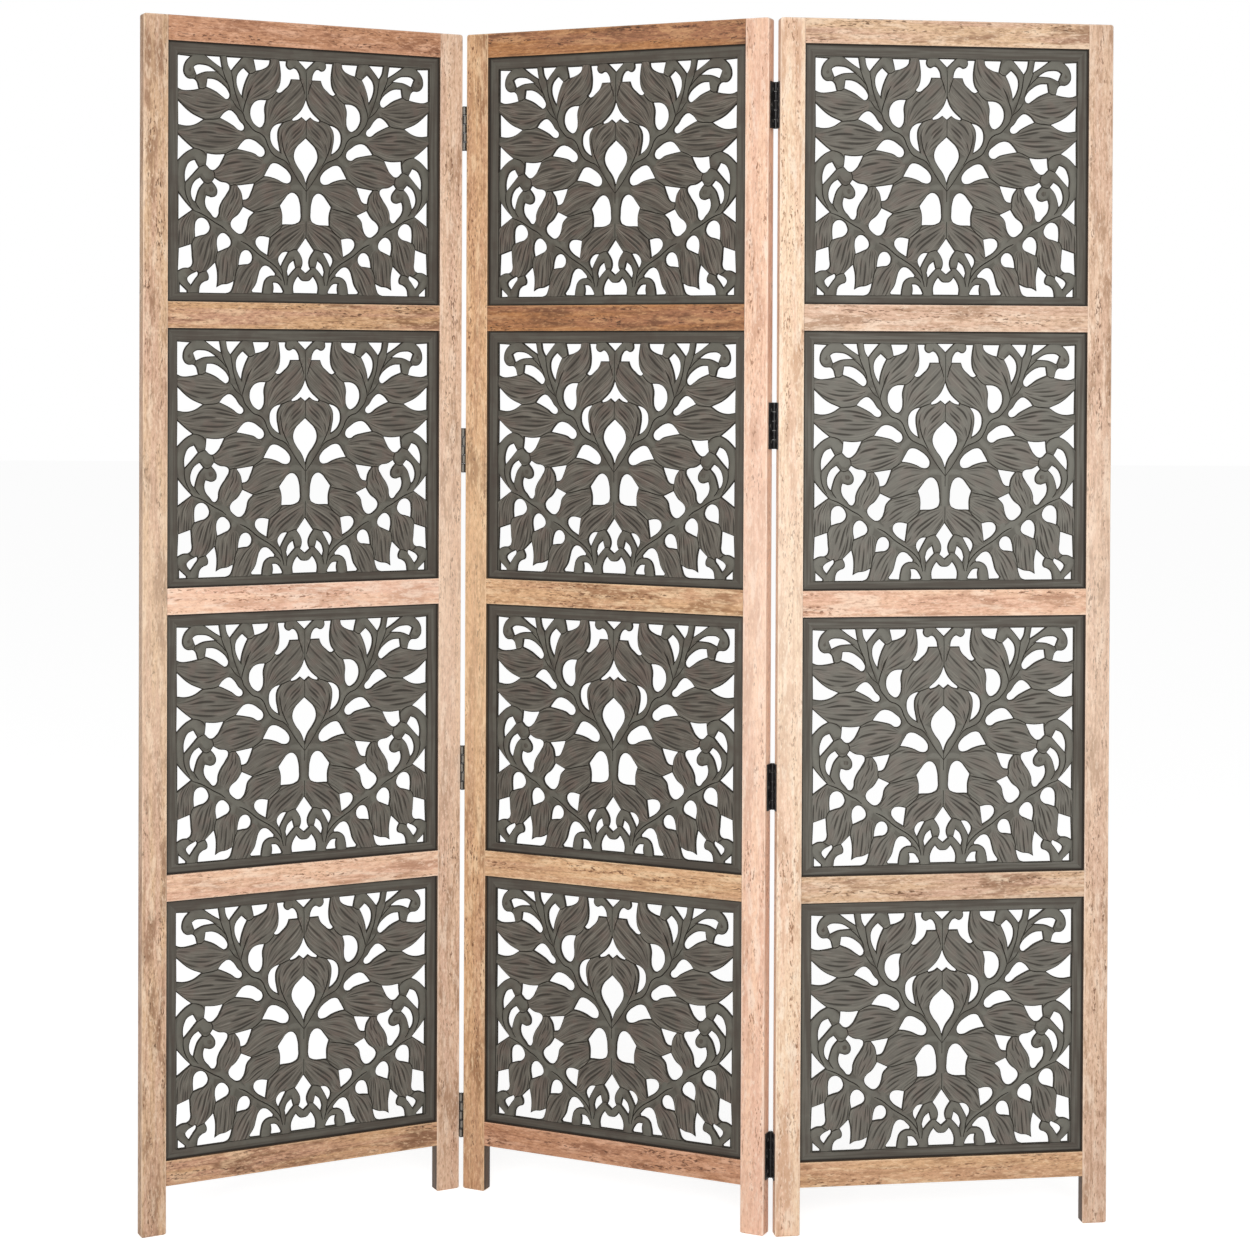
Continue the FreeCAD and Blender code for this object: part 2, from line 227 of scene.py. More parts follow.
# Carved leaves of the left half: base, tip, then the two margins from base to tip
LEAF_SHARES = {
    "upper_edge": ((0.535, 0.775), (0.950, 0.797),
                   [(0.60, 0.805), (0.68, 0.834), (0.78, 0.836), (0.87, 0.824)],
                   [(0.575, 0.730), (0.68, 0.704), (0.78, 0.713), (0.87, 0.742)]),
    "middle_edge": ((0.430, 0.645), (0.950, 0.655),
                    [(0.50, 0.690), (0.60, 0.714), (0.72, 0.708), (0.85, 0.672)],
                    [(0.49, 0.600), (0.60, 0.570), (0.73, 0.574), (0.85, 0.605)]),
    "waist": ((0.290, 0.540), (0.690, 0.492),
              [(0.36, 0.585), (0.47, 0.602), (0.58, 0.582), (0.65, 0.530)],
              [(0.33, 0.488), (0.42, 0.462), (0.53, 0.452), (0.63, 0.462)]),
    "inner": ((0.110, 0.458), (0.475, 0.382),
              [(0.18, 0.487), (0.27, 0.500), (0.37, 0.470), (0.44, 0.412)],
              [(0.13, 0.415), (0.19, 0.380), (0.29, 0.360), (0.40, 0.350)]),
    "under": ((0.165, 0.350), (0.450, 0.258),
              [(0.22, 0.378), (0.31, 0.366), (0.39, 0.348), (0.44, 0.300)],
              [(0.18, 0.308), (0.24, 0.282), (0.31, 0.256), (0.39, 0.242)]),
    "skirt": ((-0.005, 0.318), (0.290, 0.170),
              [(0.07, 0.332), (0.18, 0.316), (0.27, 0.275), (0.295, 0.220)],
              [(0.00, 0.260), (0.06, 0.214), (0.13, 0.194), (0.21, 0.165)]),
    "heart": ((0.160, 0.562), (-0.005, 0.740),
              [(0.205, 0.610), (0.220, 0.660), (0.185, 0.712), (0.095, 0.735)],
              [(0.105, 0.585), (0.070, 0.608), (0.030, 0.634), (-0.005, 0.670)]),
    "crown": ((0.275, 0.685), (0.000, 0.890),
              [(0.315, 0.735), (0.300, 0.795), (0.210, 0.842), (0.105, 0.888)],
              [(0.200, 0.692), (0.115, 0.715), (0.050, 0.748), (0.000, 0.800)]),
    "shoulder": ((0.425, 0.770), (0.215, 0.975),
                 [(0.475, 0.820), (0.455, 0.875), (0.38, 0.918), (0.290, 0.950)],
                 [(0.370, 0.782), (0.285, 0.795), (0.200, 0.828), (0.178, 0.890)]),
    "bud": ((0.590, 0.310), (0.515, 0.465),
            [(0.640, 0.345), (0.625, 0.385), (0.585, 0.420), (0.550, 0.450)],
            [(0.530, 0.310), (0.470, 0.360), (0.452, 0.400), (0.480, 0.440)]),
    "lower_edge": ((0.805, 0.358), (0.885, 0.180),
                   [(0.870, 0.350), (0.930, 0.310), (0.940, 0.260), (0.930, 0.205)],
                   [(0.790, 0.320), (0.792, 0.275), (0.805, 0.235), (0.830, 0.200)]),
    "root": ((0.675, 0.282), (0.800, 0.100),
             [(0.735, 0.275), (0.800, 0.252), (0.832, 0.205), (0.835, 0.145)],
             [(0.640, 0.250), (0.630, 0.205), (0.655, 0.152), (0.720, 0.112)]),
    "outer_foot": ((0.545, 0.222), (0.600, 0.055),
                   [(0.600, 0.215), (0.646, 0.185), (0.650, 0.130), (0.650, 0.075)],
                   [(0.488, 0.205), (0.476, 0.160), (0.495, 0.110), (0.525, 0.070)]),
    "inner_foot": ((0.370, 0.172), (0.510, 0.020),
                   [(0.425, 0.168), (0.490, 0.150), (0.530, 0.110), (0.545, 0.050)],
                   [(0.325, 0.140), (0.345, 0.095), (0.375, 0.050), (0.430, 0.020)]),
}

# Carved stems and scrolls: points as shares with the half width there in millimetres. A scroll
# ends in a round bulb as wide as its last point.
STEM_SHARES = {
    "trunk": [(0, 0.270, 6.0), (0, 0.38, 6.2), (0, 0.480, 7.5)],
    "main_branch": [(-0.01, 0.44, 6.5), (0.045, 0.50, 6.5), (0.10, 0.553, 6.5), (0.175, 0.573, 6.5),
                    (0.25, 0.600, 6.5), (0.305, 0.650, 7.5), (0.375, 0.680, 7), (0.425, 0.72, 6),
                    (0.450, 0.77, 6), (0.505, 0.83, 6), (0.560, 0.885, 6), (0.595, 0.98, 6)],
    "middle_edge_stalk": [(0.33, 0.660, 6), (0.40, 0.660, 6.5), (0.47, 0.645, 5)],
    "waist_stalk": [(0.23, 0.590, 5), (0.28, 0.562, 6), (0.34, 0.532, 5)],
    "heart_stalk": [(0.11, 0.550, 4), (0.150, 0.575, 5.5), (0.155, 0.61, 4)],
    "crown_stalk": [(0.31, 0.640, 5), (0.285, 0.675, 6.5), (0.255, 0.72, 4)],
    "shoulder_stalk": [(0.44, 0.730, 5), (0.435, 0.770, 6), (0.40, 0.82, 4)],
    "upper_edge_stalk": [(0.49, 0.775, 5), (0.54, 0.772, 6), (0.60, 0.77, 4)],
    "inner_stalk": [(0.0, 0.45, 5), (0.07, 0.456, 6), (0.15, 0.445, 4)],
    "long_stem": [(0.125, 0.00, 6), (0.150, 0.07, 6), (0.195, 0.122, 5.5), (0.25, 0.153, 6),
                  (0.31, 0.172, 6), (0.375, 0.207, 6), (0.45, 0.237, 6.5), (0.53, 0.272, 6.5),
                  (0.60, 0.297, 7), (0.665, 0.305, 6.5), (0.715, 0.328, 6)],
    "bud_stalk": [(0.58, 0.290, 5), (0.585, 0.325, 6), (0.565, 0.36, 4)],
    "root_stalk": [(0.66, 0.305, 5), (0.672, 0.275, 6), (0.70, 0.23, 4)],
    "outer_foot_stalk": [(0.50, 0.255, 5), (0.525, 0.225, 6.5), (0.55, 0.18, 4)],
    "inner_foot_stalk": [(0.34, 0.195, 5), (0.36, 0.168, 6), (0.39, 0.13, 4)],
    "skirt_stalk": [(0.40, 0.22, 5), (0.41, 0.255, 6.5), (0.38, 0.30, 4)],
    "edge_stem": [(0.70, 0.315, 6), (0.76, 0.342, 6.5), (0.82, 0.348, 6), (0.855, 0.325, 4)],
}
SCROLL_SHARES = {
    "corner": [(0.53, 0.83, 5), (0.60, 0.892, 6), (0.67, 0.922, 6.5), (0.75, 0.936, 7.5),
               (0.815, 0.928, 8), (0.842, 0.892, 9)],
    "under_corner": [(0.52, 0.81, 5), (0.58, 0.858, 6), (0.65, 0.878, 6), (0.715, 0.872, 6.5),
                     (0.762, 0.846, 8)],
    "hook": [(0.49, 0.79, 4), (0.523, 0.85, 5), (0.512, 0.90, 5.5), (0.475, 0.932, 6.5),
             (0.435, 0.938, 7), (0.405, 0.918, 7.2)],
    "crown": [(0.0, 0.78, 4.5), (0.006, 0.84, 5), (0.018, 0.895, 5.5), (0.045, 0.928, 6),
              (0.082, 0.946, 7), (0.115, 0.938, 7.6)],
    "outer_side": [(0.80, 0.345, 6), (0.865, 0.395, 6), (0.898, 0.45, 6), (0.900, 0.51, 6),
                   (0.865, 0.556, 7), (0.805, 0.574, 7.5), (0.752, 0.552, 8.4)],
    "middle_side": [(0.79, 0.345, 6), (0.835, 0.375, 6), (0.852, 0.42, 5.5), (0.838, 0.465, 6),
                    (0.795, 0.498, 7), (0.745, 0.510, 7.5), (0.705, 0.492, 8.6)],
    "inner_side": [(0.68, 0.310, 6), (0.740, 0.345, 7), (0.766, 0.385, 7), (0.762, 0.425, 7),
                   (0.735, 0.450, 7.5), (0.688, 0.435, 9.4)],
    "lower_middle": [(0.155, 0.05, 5), (0.163, 0.11, 5), (0.148, 0.157, 5), (0.110, 0.191, 5.5),
                     (0.070, 0.192, 7), (0.052, 0.166, 8)],
    "lowest_middle": [(0.120, 0.02, 6), (0.117, 0.07, 5.5), (0.090, 0.110, 5.5),
                      (0.052, 0.128, 6), (0.016, 0.106, 7.5)],
    "arch": [(0.165, 0.06, 4), (0.200, 0.090, 5), (0.245, 0.094, 6), (0.275, 0.070, 7.5),
             (0.280, 0.015, 8)],
    "lower_corner": [(0.80, 0.015, 6), (0.845, 0.045, 5.5), (0.885, 0.078, 5.5),
                     (0.892, 0.105, 7), (0.862, 0.112, 8.5)],
    "inner_corner": [(0.815, 0.015, 6.5), (0.805, 0.055, 6.5), (0.780, 0.088, 6),
                     (0.738, 0.100, 8.4)],
}

# V-cuts between neighbouring leaves, stems and scrolls, each as points along its line
GROOVE_SHARES = (
    [(0.655, 0.893), (0.612, 0.873), (0.575, 0.848)],
    [(0.615, 0.910), (0.588, 0.868), (0.560, 0.832), (0.545, 0.785)],
    [(0.547, 0.903), (0.535, 0.862), (0.527, 0.835), (0.510, 0.803), (0.490, 0.772), (0.462, 0.737)],
    [(0.545, 0.790), (0.505, 0.758), (0.462, 0.737), (0.445, 0.712), (0.415, 0.690), (0.380, 0.670),
     (0.335, 0.660), (0.305, 0.645), (0.279, 0.612), (0.244, 0.582), (0.200, 0.568), (0.150, 0.555),
     (0.110, 0.528), (0.065, 0.489), (0.000, 0.440)],
    [(0.462, 0.732), (0.455, 0.757), (0.437, 0.790), (0.415, 0.822), (0.395, 0.845)],
    [(0.183, 0.660), (0.174, 0.615), (0.150, 0.578), (0.115, 0.540)],
    [(0.752, 0.703), (0.700, 0.706), (0.655, 0.708), (0.615, 0.715)],
    [(0.595, 0.573), (0.545, 0.588), (0.490, 0.599)],
    [(0.385, 0.463), (0.345, 0.478), (0.296, 0.498)],
    [(0.680, 0.515), (0.665, 0.497), (0.662, 0.475)],
    [(0.560, 0.449), (0.525, 0.456), (0.492, 0.454)],
    [(0.460, 0.404), (0.462, 0.386), (0.456, 0.368)],
    [(0.284, 0.792), (0.250, 0.805), (0.212, 0.831)],
    [(0.182, 0.703), (0.145, 0.713), (0.092, 0.723)],
    [(0.182, 0.377), (0.220, 0.372), (0.270, 0.366), (0.330, 0.357), (0.388, 0.352)],
    [(0.170, 0.305), (0.200, 0.285), (0.235, 0.268), (0.270, 0.253)],
    [(0.654, 0.150), (0.650, 0.175), (0.639, 0.201)],
    [(0.519, 0.078), (0.512, 0.110), (0.500, 0.130), (0.485, 0.150)],
    [(0.824, 0.220), (0.812, 0.240), (0.795, 0.254)],
    [(0.812, 0.592), (0.770, 0.587), (0.735, 0.576), (0.715, 0.556)],
    [(0.776, 0.518), (0.745, 0.526), (0.720, 0.531)],
    [(0.738, 0.461), (0.710, 0.458), (0.676, 0.465)],
    [(0.868, 0.466), (0.872, 0.430), (0.855, 0.395), (0.830, 0.370)],
    [(0.801, 0.390), (0.785, 0.370), (0.765, 0.355)],
    [(0.802, 0.856), (0.797, 0.868), (0.788, 0.880)],
    [(0.780, 0.824), (0.750, 0.822), (0.715, 0.832)],
    [(0.418, 0.892), (0.395, 0.893), (0.366, 0.904)],
    [(0.045, 0.880), (0.028, 0.855), (0.012, 0.822)],
    [(0.226, 0.109), (0.200, 0.102), (0.178, 0.088)],
    [(0.129, 0.108), (0.134, 0.090), (0.140, 0.070)],
    [(0.079, 0.139), (0.050, 0.143), (0.019, 0.140)],
    [(0.051, 0.214), (0.090, 0.210), (0.134, 0.200)],
    [(0.184, 0.148), (0.172, 0.120), (0.163, 0.085)],
    [(0.787, 0.105), (0.755, 0.115), (0.714, 0.121)],
    [(0.847, 0.132), (0.825, 0.122), (0.801, 0.115)],
    [(0.475, 0.238), (0.430, 0.226), (0.390, 0.209), (0.350, 0.190), (0.300, 0.172), (0.250, 0.154),
     (0.200, 0.128), (0.168, 0.100), (0.155, 0.070)],
    [(0.815, 0.352), (0.750, 0.338), (0.690, 0.318), (0.650, 0.304), (0.610, 0.292), (0.575, 0.276)],
    [(0, 0.925), (0, 0.798)],
    [(0, 0.725), (0, 0.646)],
    [(0, 0.470), (0, 0.400)],
    [(0, 0.322), (0, 0.253)],
    [(0, BORDER_HIGH_SHARE), (BORDER_SIDE_SHARE, BORDER_HIGH_SHARE)],
    [(0, BORDER_LOW_SHARE), (BORDER_SIDE_SHARE, BORDER_LOW_SHARE)],
    [(BORDER_SIDE_SHARE, BORDER_HIGH_SHARE), (BORDER_SIDE_SHARE, BORDER_LOW_SHARE)],
)

# How thickly the grey wash lies on each leaf's boards, from the floor up
BOARD_WASH_SHARES = {
    "left_leaf": (0.45, 0.5, 0.4, 0.3),
    "centre_leaf": (0.3, 0.25, 0.3, 0.15),
    "right_leaf": (0.7, 0.85, 0.95, 0.6),
}

# Finish of each rail and stile, from the floor up
TIMBER_TINTS = {
    "left_leaf": {"left_stile": "pale_tan", "right_stile": "pale_rose", "bottom_rail": "tan",
                  "lower_rail": "rose", "middle_rail": "blush", "upper_rail": "tan",
                  "top_rail": "red"},
    "centre_leaf": {"left_stile": "honey", "right_stile": "blush", "bottom_rail": "red",
                    "lower_rail": "honey", "middle_rail": "honey", "upper_rail": "brown",
                    "top_rail": "brown"},
    "right_leaf": {"left_stile": "straw", "right_stile": "pale_rose", "bottom_rail": "honey",
                   "lower_rail": "pale_tan", "middle_rail": "rose", "upper_rail": "pale_rose",
                   "top_rail": "pale_tan"},
}

# Colours of one board of mango: its main colour, the colour it drifts to, its dark patches, its
# pores, and its pale flecks and edges
TINT_COLOURS = {
    "honey": ("DCB086", "D0A27E", "966C4A", "6B452B", "F2D2AB"),
    "straw": ("F9DBBB", "F4CEB2", "CFA585", "94694B", "FFECD6"),
    "pale_tan": ("DDB995", "D6AE94", "946E52", "624228", "F3D8BC"),
    "tan": ("CFA379", "C8997C", "785236", "50321E", "EDC9A3"),
    "pale_rose": ("E8C5A8", "DEB89E", "A98468", "79553D", "F9E0C9"),
    "rose": ("F3C9A9", "E9BA9E", "B5876B", "7C5138", "FFE2C9"),
    "blush": ("FBD1B3", "F3C6AC", "D3A489", "996B50", "FFE6D2"),
    "red": ("C4906F", "BE8A67", "84563C", "55331F", "E4B495"),
    "brown": ("AE784B", "A37050", "65402A", "3F2415", "CB9A6E"),
}

# Further shades of the boards' wash, some also painted shade in hollows, and of the hinges' metal, one also a
# painted highlight, sRGB
SHADES = {
    "pale_cloud": "6B675D",
    "brown_blotch": "4D433B",
    "chalky_wash": "929189",
    "gouge_cut": "2E2A25",
    "sunk_ground_wash_and_shade": "38322B",
    "planed_border": "463D36",
    "rusty_leaf": "604D45",
    "thinly_washed_leaf": "40352C",
    "coarse_vein": "7D766B",
    "fine_vein": "928B80",
    "vein_shadow": "473F38",
    "sawn_end_grain": "3A352F",
    "washed_end_grain": "5B5850",
    "worn_lacquer": "2B2826",
    "worn_and_highlit_crown": "86827A",
    "dull_zinc": "7C7A76",
}


def length_setting(name, description, default):
    """A setting for a length in metres."""
    return bpy.props.FloatProperty(
        name=name, description=description, default=default, unit="LENGTH")


def number_setting(name, description, default):
    """A setting for a plain number."""
    return bpy.props.FloatProperty(name=name, description=description, default=default)


def colour_setting(name, description, default):
    """A setting for a colour."""
    return bpy.props.StringProperty(name=name, description=description, default=default)


class CarvingSettings(bpy.types.PropertyGroup):
    """Relief and finish of the carved boards."""
    web_level: length_setting(
        "Web level", "How far the ground between the leaves lies behind the border", 2.0 * MM)
    margin_level: length_setting(
        "Margin level", "How far a carved leaf's margin lies behind the border", 1.5 * MM)
    leaf_crown: length_setting(
        "Leaf crown", "How much a leaf's middle stands above its margin", 1.3 * MM)
    stem_crown_share: number_setting(
        "Stem crown", "Height of a stem's rounding, as a share of half its width", 0.28)
    stem_sink: length_setting(
        "Stem sink", "How deep the widest part of a stem lies in the ground", 0.5 * MM)
    gouge_depth: length_setting(
        "Gouge depth", "Depth of the gouge cuts that draw a leaf's veins", 1.1 * MM)
    gouge_spacing_share: number_setting(
        "Gouge spacing", "Distance between gouge cuts as a share of half a leaf", 0.27)
    groove_width: length_setting(
        "Groove width", "Width of the V-cuts between leaves and stems", 1.8 * MM)
    groove_depth: length_setting(
        "Groove depth", "How far the V-cuts reach behind the border", 2.7 * MM)
    rim_width: length_setting("Rim width", "Width of the eased edge round each opening", 1.5 * MM)
    rim_depth: length_setting("Rim depth", "How deep the eased edge falls at the front", 1.0 * MM)
    back_rim_depth: length_setting(
        "Back rim depth", "How deep the eased edge falls at the back", 3.0 * MM)
    stem_colour: colour_setting(
        "Stem colour", "Grey wash on the stems and the border, sRGB", "5B584F")
    leaf_colour: colour_setting("Leaf colour", "Brown wash on the leaves, sRGB", "4F473F")
    # This colour is also painted shade on the cut walls and along the frame
    hollow_wash_and_shade_colour: colour_setting("Hollow colour", "Wash that settled in the cuts, sRGB", "27231E")


class TimberSettings(bpy.types.PropertyGroup):
    """Edges and finish of the timber frames."""
    arris_radius: length_setting("Arris radius", "Rounding of the sanded edges", 0.8 * MM)
    corner_radius: length_setting(
        "Corner radius", "Rounding of the outer top corners of a leaf", 4 * MM)
    wear_width: length_setting("Wear width", "Width of the paler band along each edge", 3 * MM)
    # The frame faces towards the boards get this as wash and painted shade
    edge_wash_and_shade_colour: colour_setting(
        "Wash colour", "Wash on the frame edges that face the boards, sRGB", "2C2118")


class HingeSettings(bpy.types.PropertyGroup):
    """Sizes and finish of the butt hinges."""
    height: length_setting("Height", "Height of a hinge", 70 * MM)
    knuckle_radius: length_setting(
        "Knuckle radius", "Outside radius of the rolled knuckles", 2.75 * MM)
    knuckle_count: bpy.props.IntProperty(
        name="Knuckles", description="Knuckles of one hinge, shared by its two flaps", default=5)
    flap_thickness: length_setting(
        "Flap thickness", "Thickness of the flaps screwed to the stiles", 1.5 * MM)
    flap_margin: length_setting(
        "Flap margin", "Bare wood beside a flap on the stile's edge", 5 * MM)
    pin_radius: length_setting("Pin radius", "Radius of the hinge pins", 1.5 * MM)
    screw_radius: length_setting(
        "Screw head radius", "Radius of the countersunk screw heads", 2.9 * MM)
    knuckle_play: length_setting(
        "Knuckle play", "Gap that each flap leaves beside a knuckle", 0.3 * MM)
    paint_colour: colour_setting("Paint colour", "Black lacquer of the hinges, sRGB", "171514")
    steel_colour: colour_setting("Steel colour", "Bare steel of pins and screws, sRGB", "A8A59F")


class StageSettings(bpy.types.PropertyGroup):
    """Floor and light."""
    key_power: number_setting(
        "Key power", "Power of the large soft lamp behind the camera, in watts", 205.0)
    sky_strength: number_setting("Sky strength", "Even light from all round", 0.3)
    floor_colour: colour_setting("Floor colour", "Pale floor, sRGB", "F4F4F4")
    floor_glow: number_setting(
        "Floor glow", "How much brighter the camera sees the floor than it is lit", 0.70)


def linear(hex_colour):
    """An sRGB hex colour as linear red, green, blue and alpha."""
    channels = [int(hex_colour[start:start + 2], 16) / 255 for start in (0, 2, 4)]
    curve = [c / 12.92 if c <= 0.04045 else ((c + 0.055) / 1.055) ** 2.4 for c in channels]
    return (*curve, 1.0)


def shade(name):
    """A named shade as a linear colour."""
    return linear(SHADES[name])


def add_node(tree, kind, inputs=None, **settings):
    """Add a shader node. inputs gives a socket a value, or another node's output to follow."""
    made = tree.nodes.new(kind)
    for name, value in settings.items():
        setattr(made, name, value)
    for socket, value in (inputs or {}).items():
        if isinstance(value, bpy.types.NodeSocket):
            tree.links.new(value, made.inputs[socket])
        else:
            made.inputs[socket].default_value = value
    return made


def new_material(name):
    """An empty node material and its tree."""
    material = bpy.data.materials.new(name)
    material.use_nodes = True
    material.node_tree.nodes.clear()
    return material, material.node_tree


def finish_material(tree, shader):
    """Send a shader to the material's surface."""
    add_node(tree, "ShaderNodeOutputMaterial", {"Surface": shader.outputs[0]})


def calculate(tree, operation, *values):
    """A math node's result."""
    inputs = dict(enumerate(values))
    return add_node(tree, "ShaderNodeMath", inputs, operation=operation).outputs[0]


def ramp_between(tree, value, start, end, low=0.0, high=1.0):
    """low until value reaches start, high once it reaches end, and a smooth change between."""
    inputs = {"Value": value, 1: start, 2: end, 3: low, 4: high}
    return add_node(tree, "ShaderNodeMapRange", inputs, interpolation_type="SMOOTHSTEP").outputs[0]


def mix_colours(tree, share, first, second):
    """Two colours mixed by a share."""
    mix = add_node(tree, "ShaderNodeMix", data_type="RGBA")
    for socket, value in ((mix.inputs[0], share), (mix.inputs[6], first), (mix.inputs[7], second)):
        if isinstance(value, bpy.types.NodeSocket):
            tree.links.new(value, socket)
        else:
            socket.default_value = value
    return mix.outputs[2]


def blend(tree, tint, colour, value, start, end, low, high):
    """The tint mixed with a colour by a share that ramps from low to high with the value."""
    return mix_colours(tree, ramp_between(tree, value, start, end, low, high), tint, colour)


def attribute(tree, name, output="Vector"):
    """A value that the piece's mesh carries."""
    return add_node(tree, "ShaderNodeAttribute", attribute_name=name).outputs[output]


def scale_for(*sizes):
    """Scales of noise that make its spots about this large along x, y and z, in millimetres."""
    return [1 / (size * MM) for size in sizes]


def stretched_noise(tree, place, seed, scale, detail=3.0, roughness=0.5):
    """Noise over a vector, with a scale of its own along each axis."""
    stretched = add_node(tree, "ShaderNodeMapping", {"Vector": place, "Scale": scale}).outputs[0]
    return add_node(tree, "ShaderNodeTexNoise", {
        "Vector": stretched, "W": seed, "Scale": 1.0, "Detail": detail,
        "Roughness": roughness}, noise_dimensions="4D").outputs["Fac"]


def object_noise(tree, size, detail=2.0):
    """Noise over the piece, with spots of about this size in millimetres."""
    place = add_node(tree, "ShaderNodeTexCoord").outputs["Object"]
    return add_node(tree, "ShaderNodeTexNoise", {
        "Vector": place, "Scale": 1 / (size * MM), "Detail": detail}).outputs["Fac"]


def frayed(tree, value, noise, amount):
    """A value with noise added to it."""
    drift = calculate(tree, "MULTIPLY", calculate(tree, "SUBTRACT", noise, 0.5), amount)
    return calculate(tree, "ADD", value, drift)


def new_mesh(name, bm):
    """Write a bmesh to a new mesh and free it."""
    mesh = bpy.data.meshes.new(name)
    bm.to_mesh(mesh)
    bm.free()
    return mesh


def new_object(name, data):
    """Put a new object in the scene."""
    made = bpy.data.objects.new(name, data)
    bpy.context.scene.collection.objects.link(made)
    return made


def make_piece(name, mesh, body, nodes=()):
    """Put a finished mesh in the scene as a piece that rides on a body."""
    piece = new_object(name, mesh)
    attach(piece, body)
    if nodes:
        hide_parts(*nodes)


def scratch_object(name, mesh, material):
    """Link a mesh as an object, with its doubles merged and its faces turned outwards."""
    bm = bmesh.new()
    bm.from_mesh(mesh)
    bmesh.ops.remove_doubles(bm, verts=bm.verts[:], dist=MERGE_DISTANCE)
    bmesh.ops.dissolve_degenerate(bm, edges=bm.edges[:], dist=MERGE_DISTANCE)
    bmesh.ops.recalc_face_normals(bm, faces=bm.faces[:])
    bm.to_mesh(mesh)
    bm.free()
    mesh.materials.clear()
    mesh.materials.append(material)
    return new_object(name, mesh)


def shape_object(name, bm, material):
    """Turn a bmesh into a scratch object and free it."""
    return scratch_object(name, new_mesh(name, bm), material)


def block(name, low, high, material):
    """A box between two corners, as a scratch object."""
    size = [b - a for a, b in zip(low, high)]
    middle = [(a + b) / 2 for a, b in zip(low, high)]
    bm = bmesh.new()
    place = Matrix.Translation(middle) @ Matrix.Diagonal((*size, 1))
    bmesh.ops.create_cube(bm, size=1, matrix=place)
    return shape_object(name, bm, material)


def evaluated_mesh(holder):
    """The mesh that an object shows with its modifiers or curve settings."""
    graph = bpy.context.evaluated_depsgraph_get()
    return bpy.data.meshes.new_from_object(holder.evaluated_get(graph))


def carve(base, tools):
    """Apply a list of (boolean operation, object) to a scratch object and return its mesh."""
    for operation, tool in tools:
        step = base.modifiers.new(tool.name, "BOOLEAN")
        step.operation = operation
        step.solver = "MANIFOLD"
        step.material_mode = "TRANSFER"
        step.object = tool
    mesh = evaluated_mesh(base)
    for unused in [base] + [tool for operation, tool in tools]:
        bpy.data.objects.remove(unused)
    return mesh


def mark_sharp_edges(bm, crease):
    """Shade every face smooth and keep a crease where faces meet at more than an angle."""
    angle = math.radians(crease)
    for face in bm.faces:
        face.smooth = True
    for edge in bm.edges:
        edge.smooth = edge.is_manifold and edge.calc_face_angle() < angle


def round_edges(bm, edges, radius, segments, clamp_overlap=False):
    """Round some edges of a bmesh."""
    bmesh.ops.bevel(bm, geom=edges, offset=radius, affect="EDGES", segments=segments, profile=0.5,
                    material=-1, clamp_overlap=clamp_overlap)


def turned(profile, steps, is_ring):
    """A bmesh turned about the z axis from points of (radius, height), as a rod or as a ring."""
    bm = bmesh.new()
    verts = [bm.verts.new((x, 0, z)) for x, z in profile]
    following = verts[1:] + verts[:1] if is_ring else verts[1:]
    edges = [bm.edges.new(pair) for pair in zip(verts, following)]
    bmesh.ops.spin(bm, geom=verts + edges, axis=(0, 0, 1), cent=(0, 0, 0), angle=math.tau,
                   steps=steps, use_merge=True)
    return bm


def leaf_feet(leaf):
    """Middles of a leaf's left and right foot."""
    feet = {mount["name"]: Vector(mount["pos_m"]) for mount in frame["record"]["mounts"]}
    return feet[leaf + "_left_foot"], feet[leaf + "_right_foot"]


def leaf_directions(leaf):
    """Directions across a leaf to its right edge and through it to its back face."""
    left, right = leaf_feet(leaf)
    across = (right - left).normalized()
    return across, Vector((-across.y, across.x, 0))


def leaf_place(leaf):
    """Matrix from a leaf's own frame to the screen's."""
    across, inward = leaf_directions(leaf)
    corner = leaf_feet(leaf)[0] - across * STILE_WIDTH / 2 - inward * LEAF_THICKNESS / 2
    turn = Matrix((across, inward, Vector((0, 0, 1)))).transposed().to_4x4()
    return Matrix.Translation(corner) @ turn


def leaf_width():
    """Width of a leaf, from how far apart its feet stand."""
    left, right = leaf_feet(LEAVES[0])
    return (right - left).length + STILE_WIDTH


def opening_rows():
    """Lowest and highest z of each frame opening of a leaf, by the name of its board."""
    rails = [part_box(LEAVES[0] + "_" + name + "_rail") for name in RAILS]
    return {
        name: (below[1].z, above[0].z)
        for name, below, above in zip(BOARDS, rails, rails[1:])
    }


def board_point(share, half_width, height):
    """A point of the left half of a board from its shares."""
    return Vector((-share[0] * half_width, 0, share[1] * height))


def ring_points(stretches):
    """The points of some stretches as (x share, z share, is a sharp corner)."""
    return [(*point, index == 0) for run in stretches for index, point in enumerate(run)]


def opening_rings():
    """All openings as closed rings of (x share, z share, is a sharp corner)."""
    for stretches in SIDE_OPENING_SHARES:
        yield ring_points(stretches)
    for stretches in MIDDLE_OPENING_SHARES:
        left = ring_points(stretches)
        yield left + [(-x, z, sharp) for x, z, sharp in reversed(left) if x]


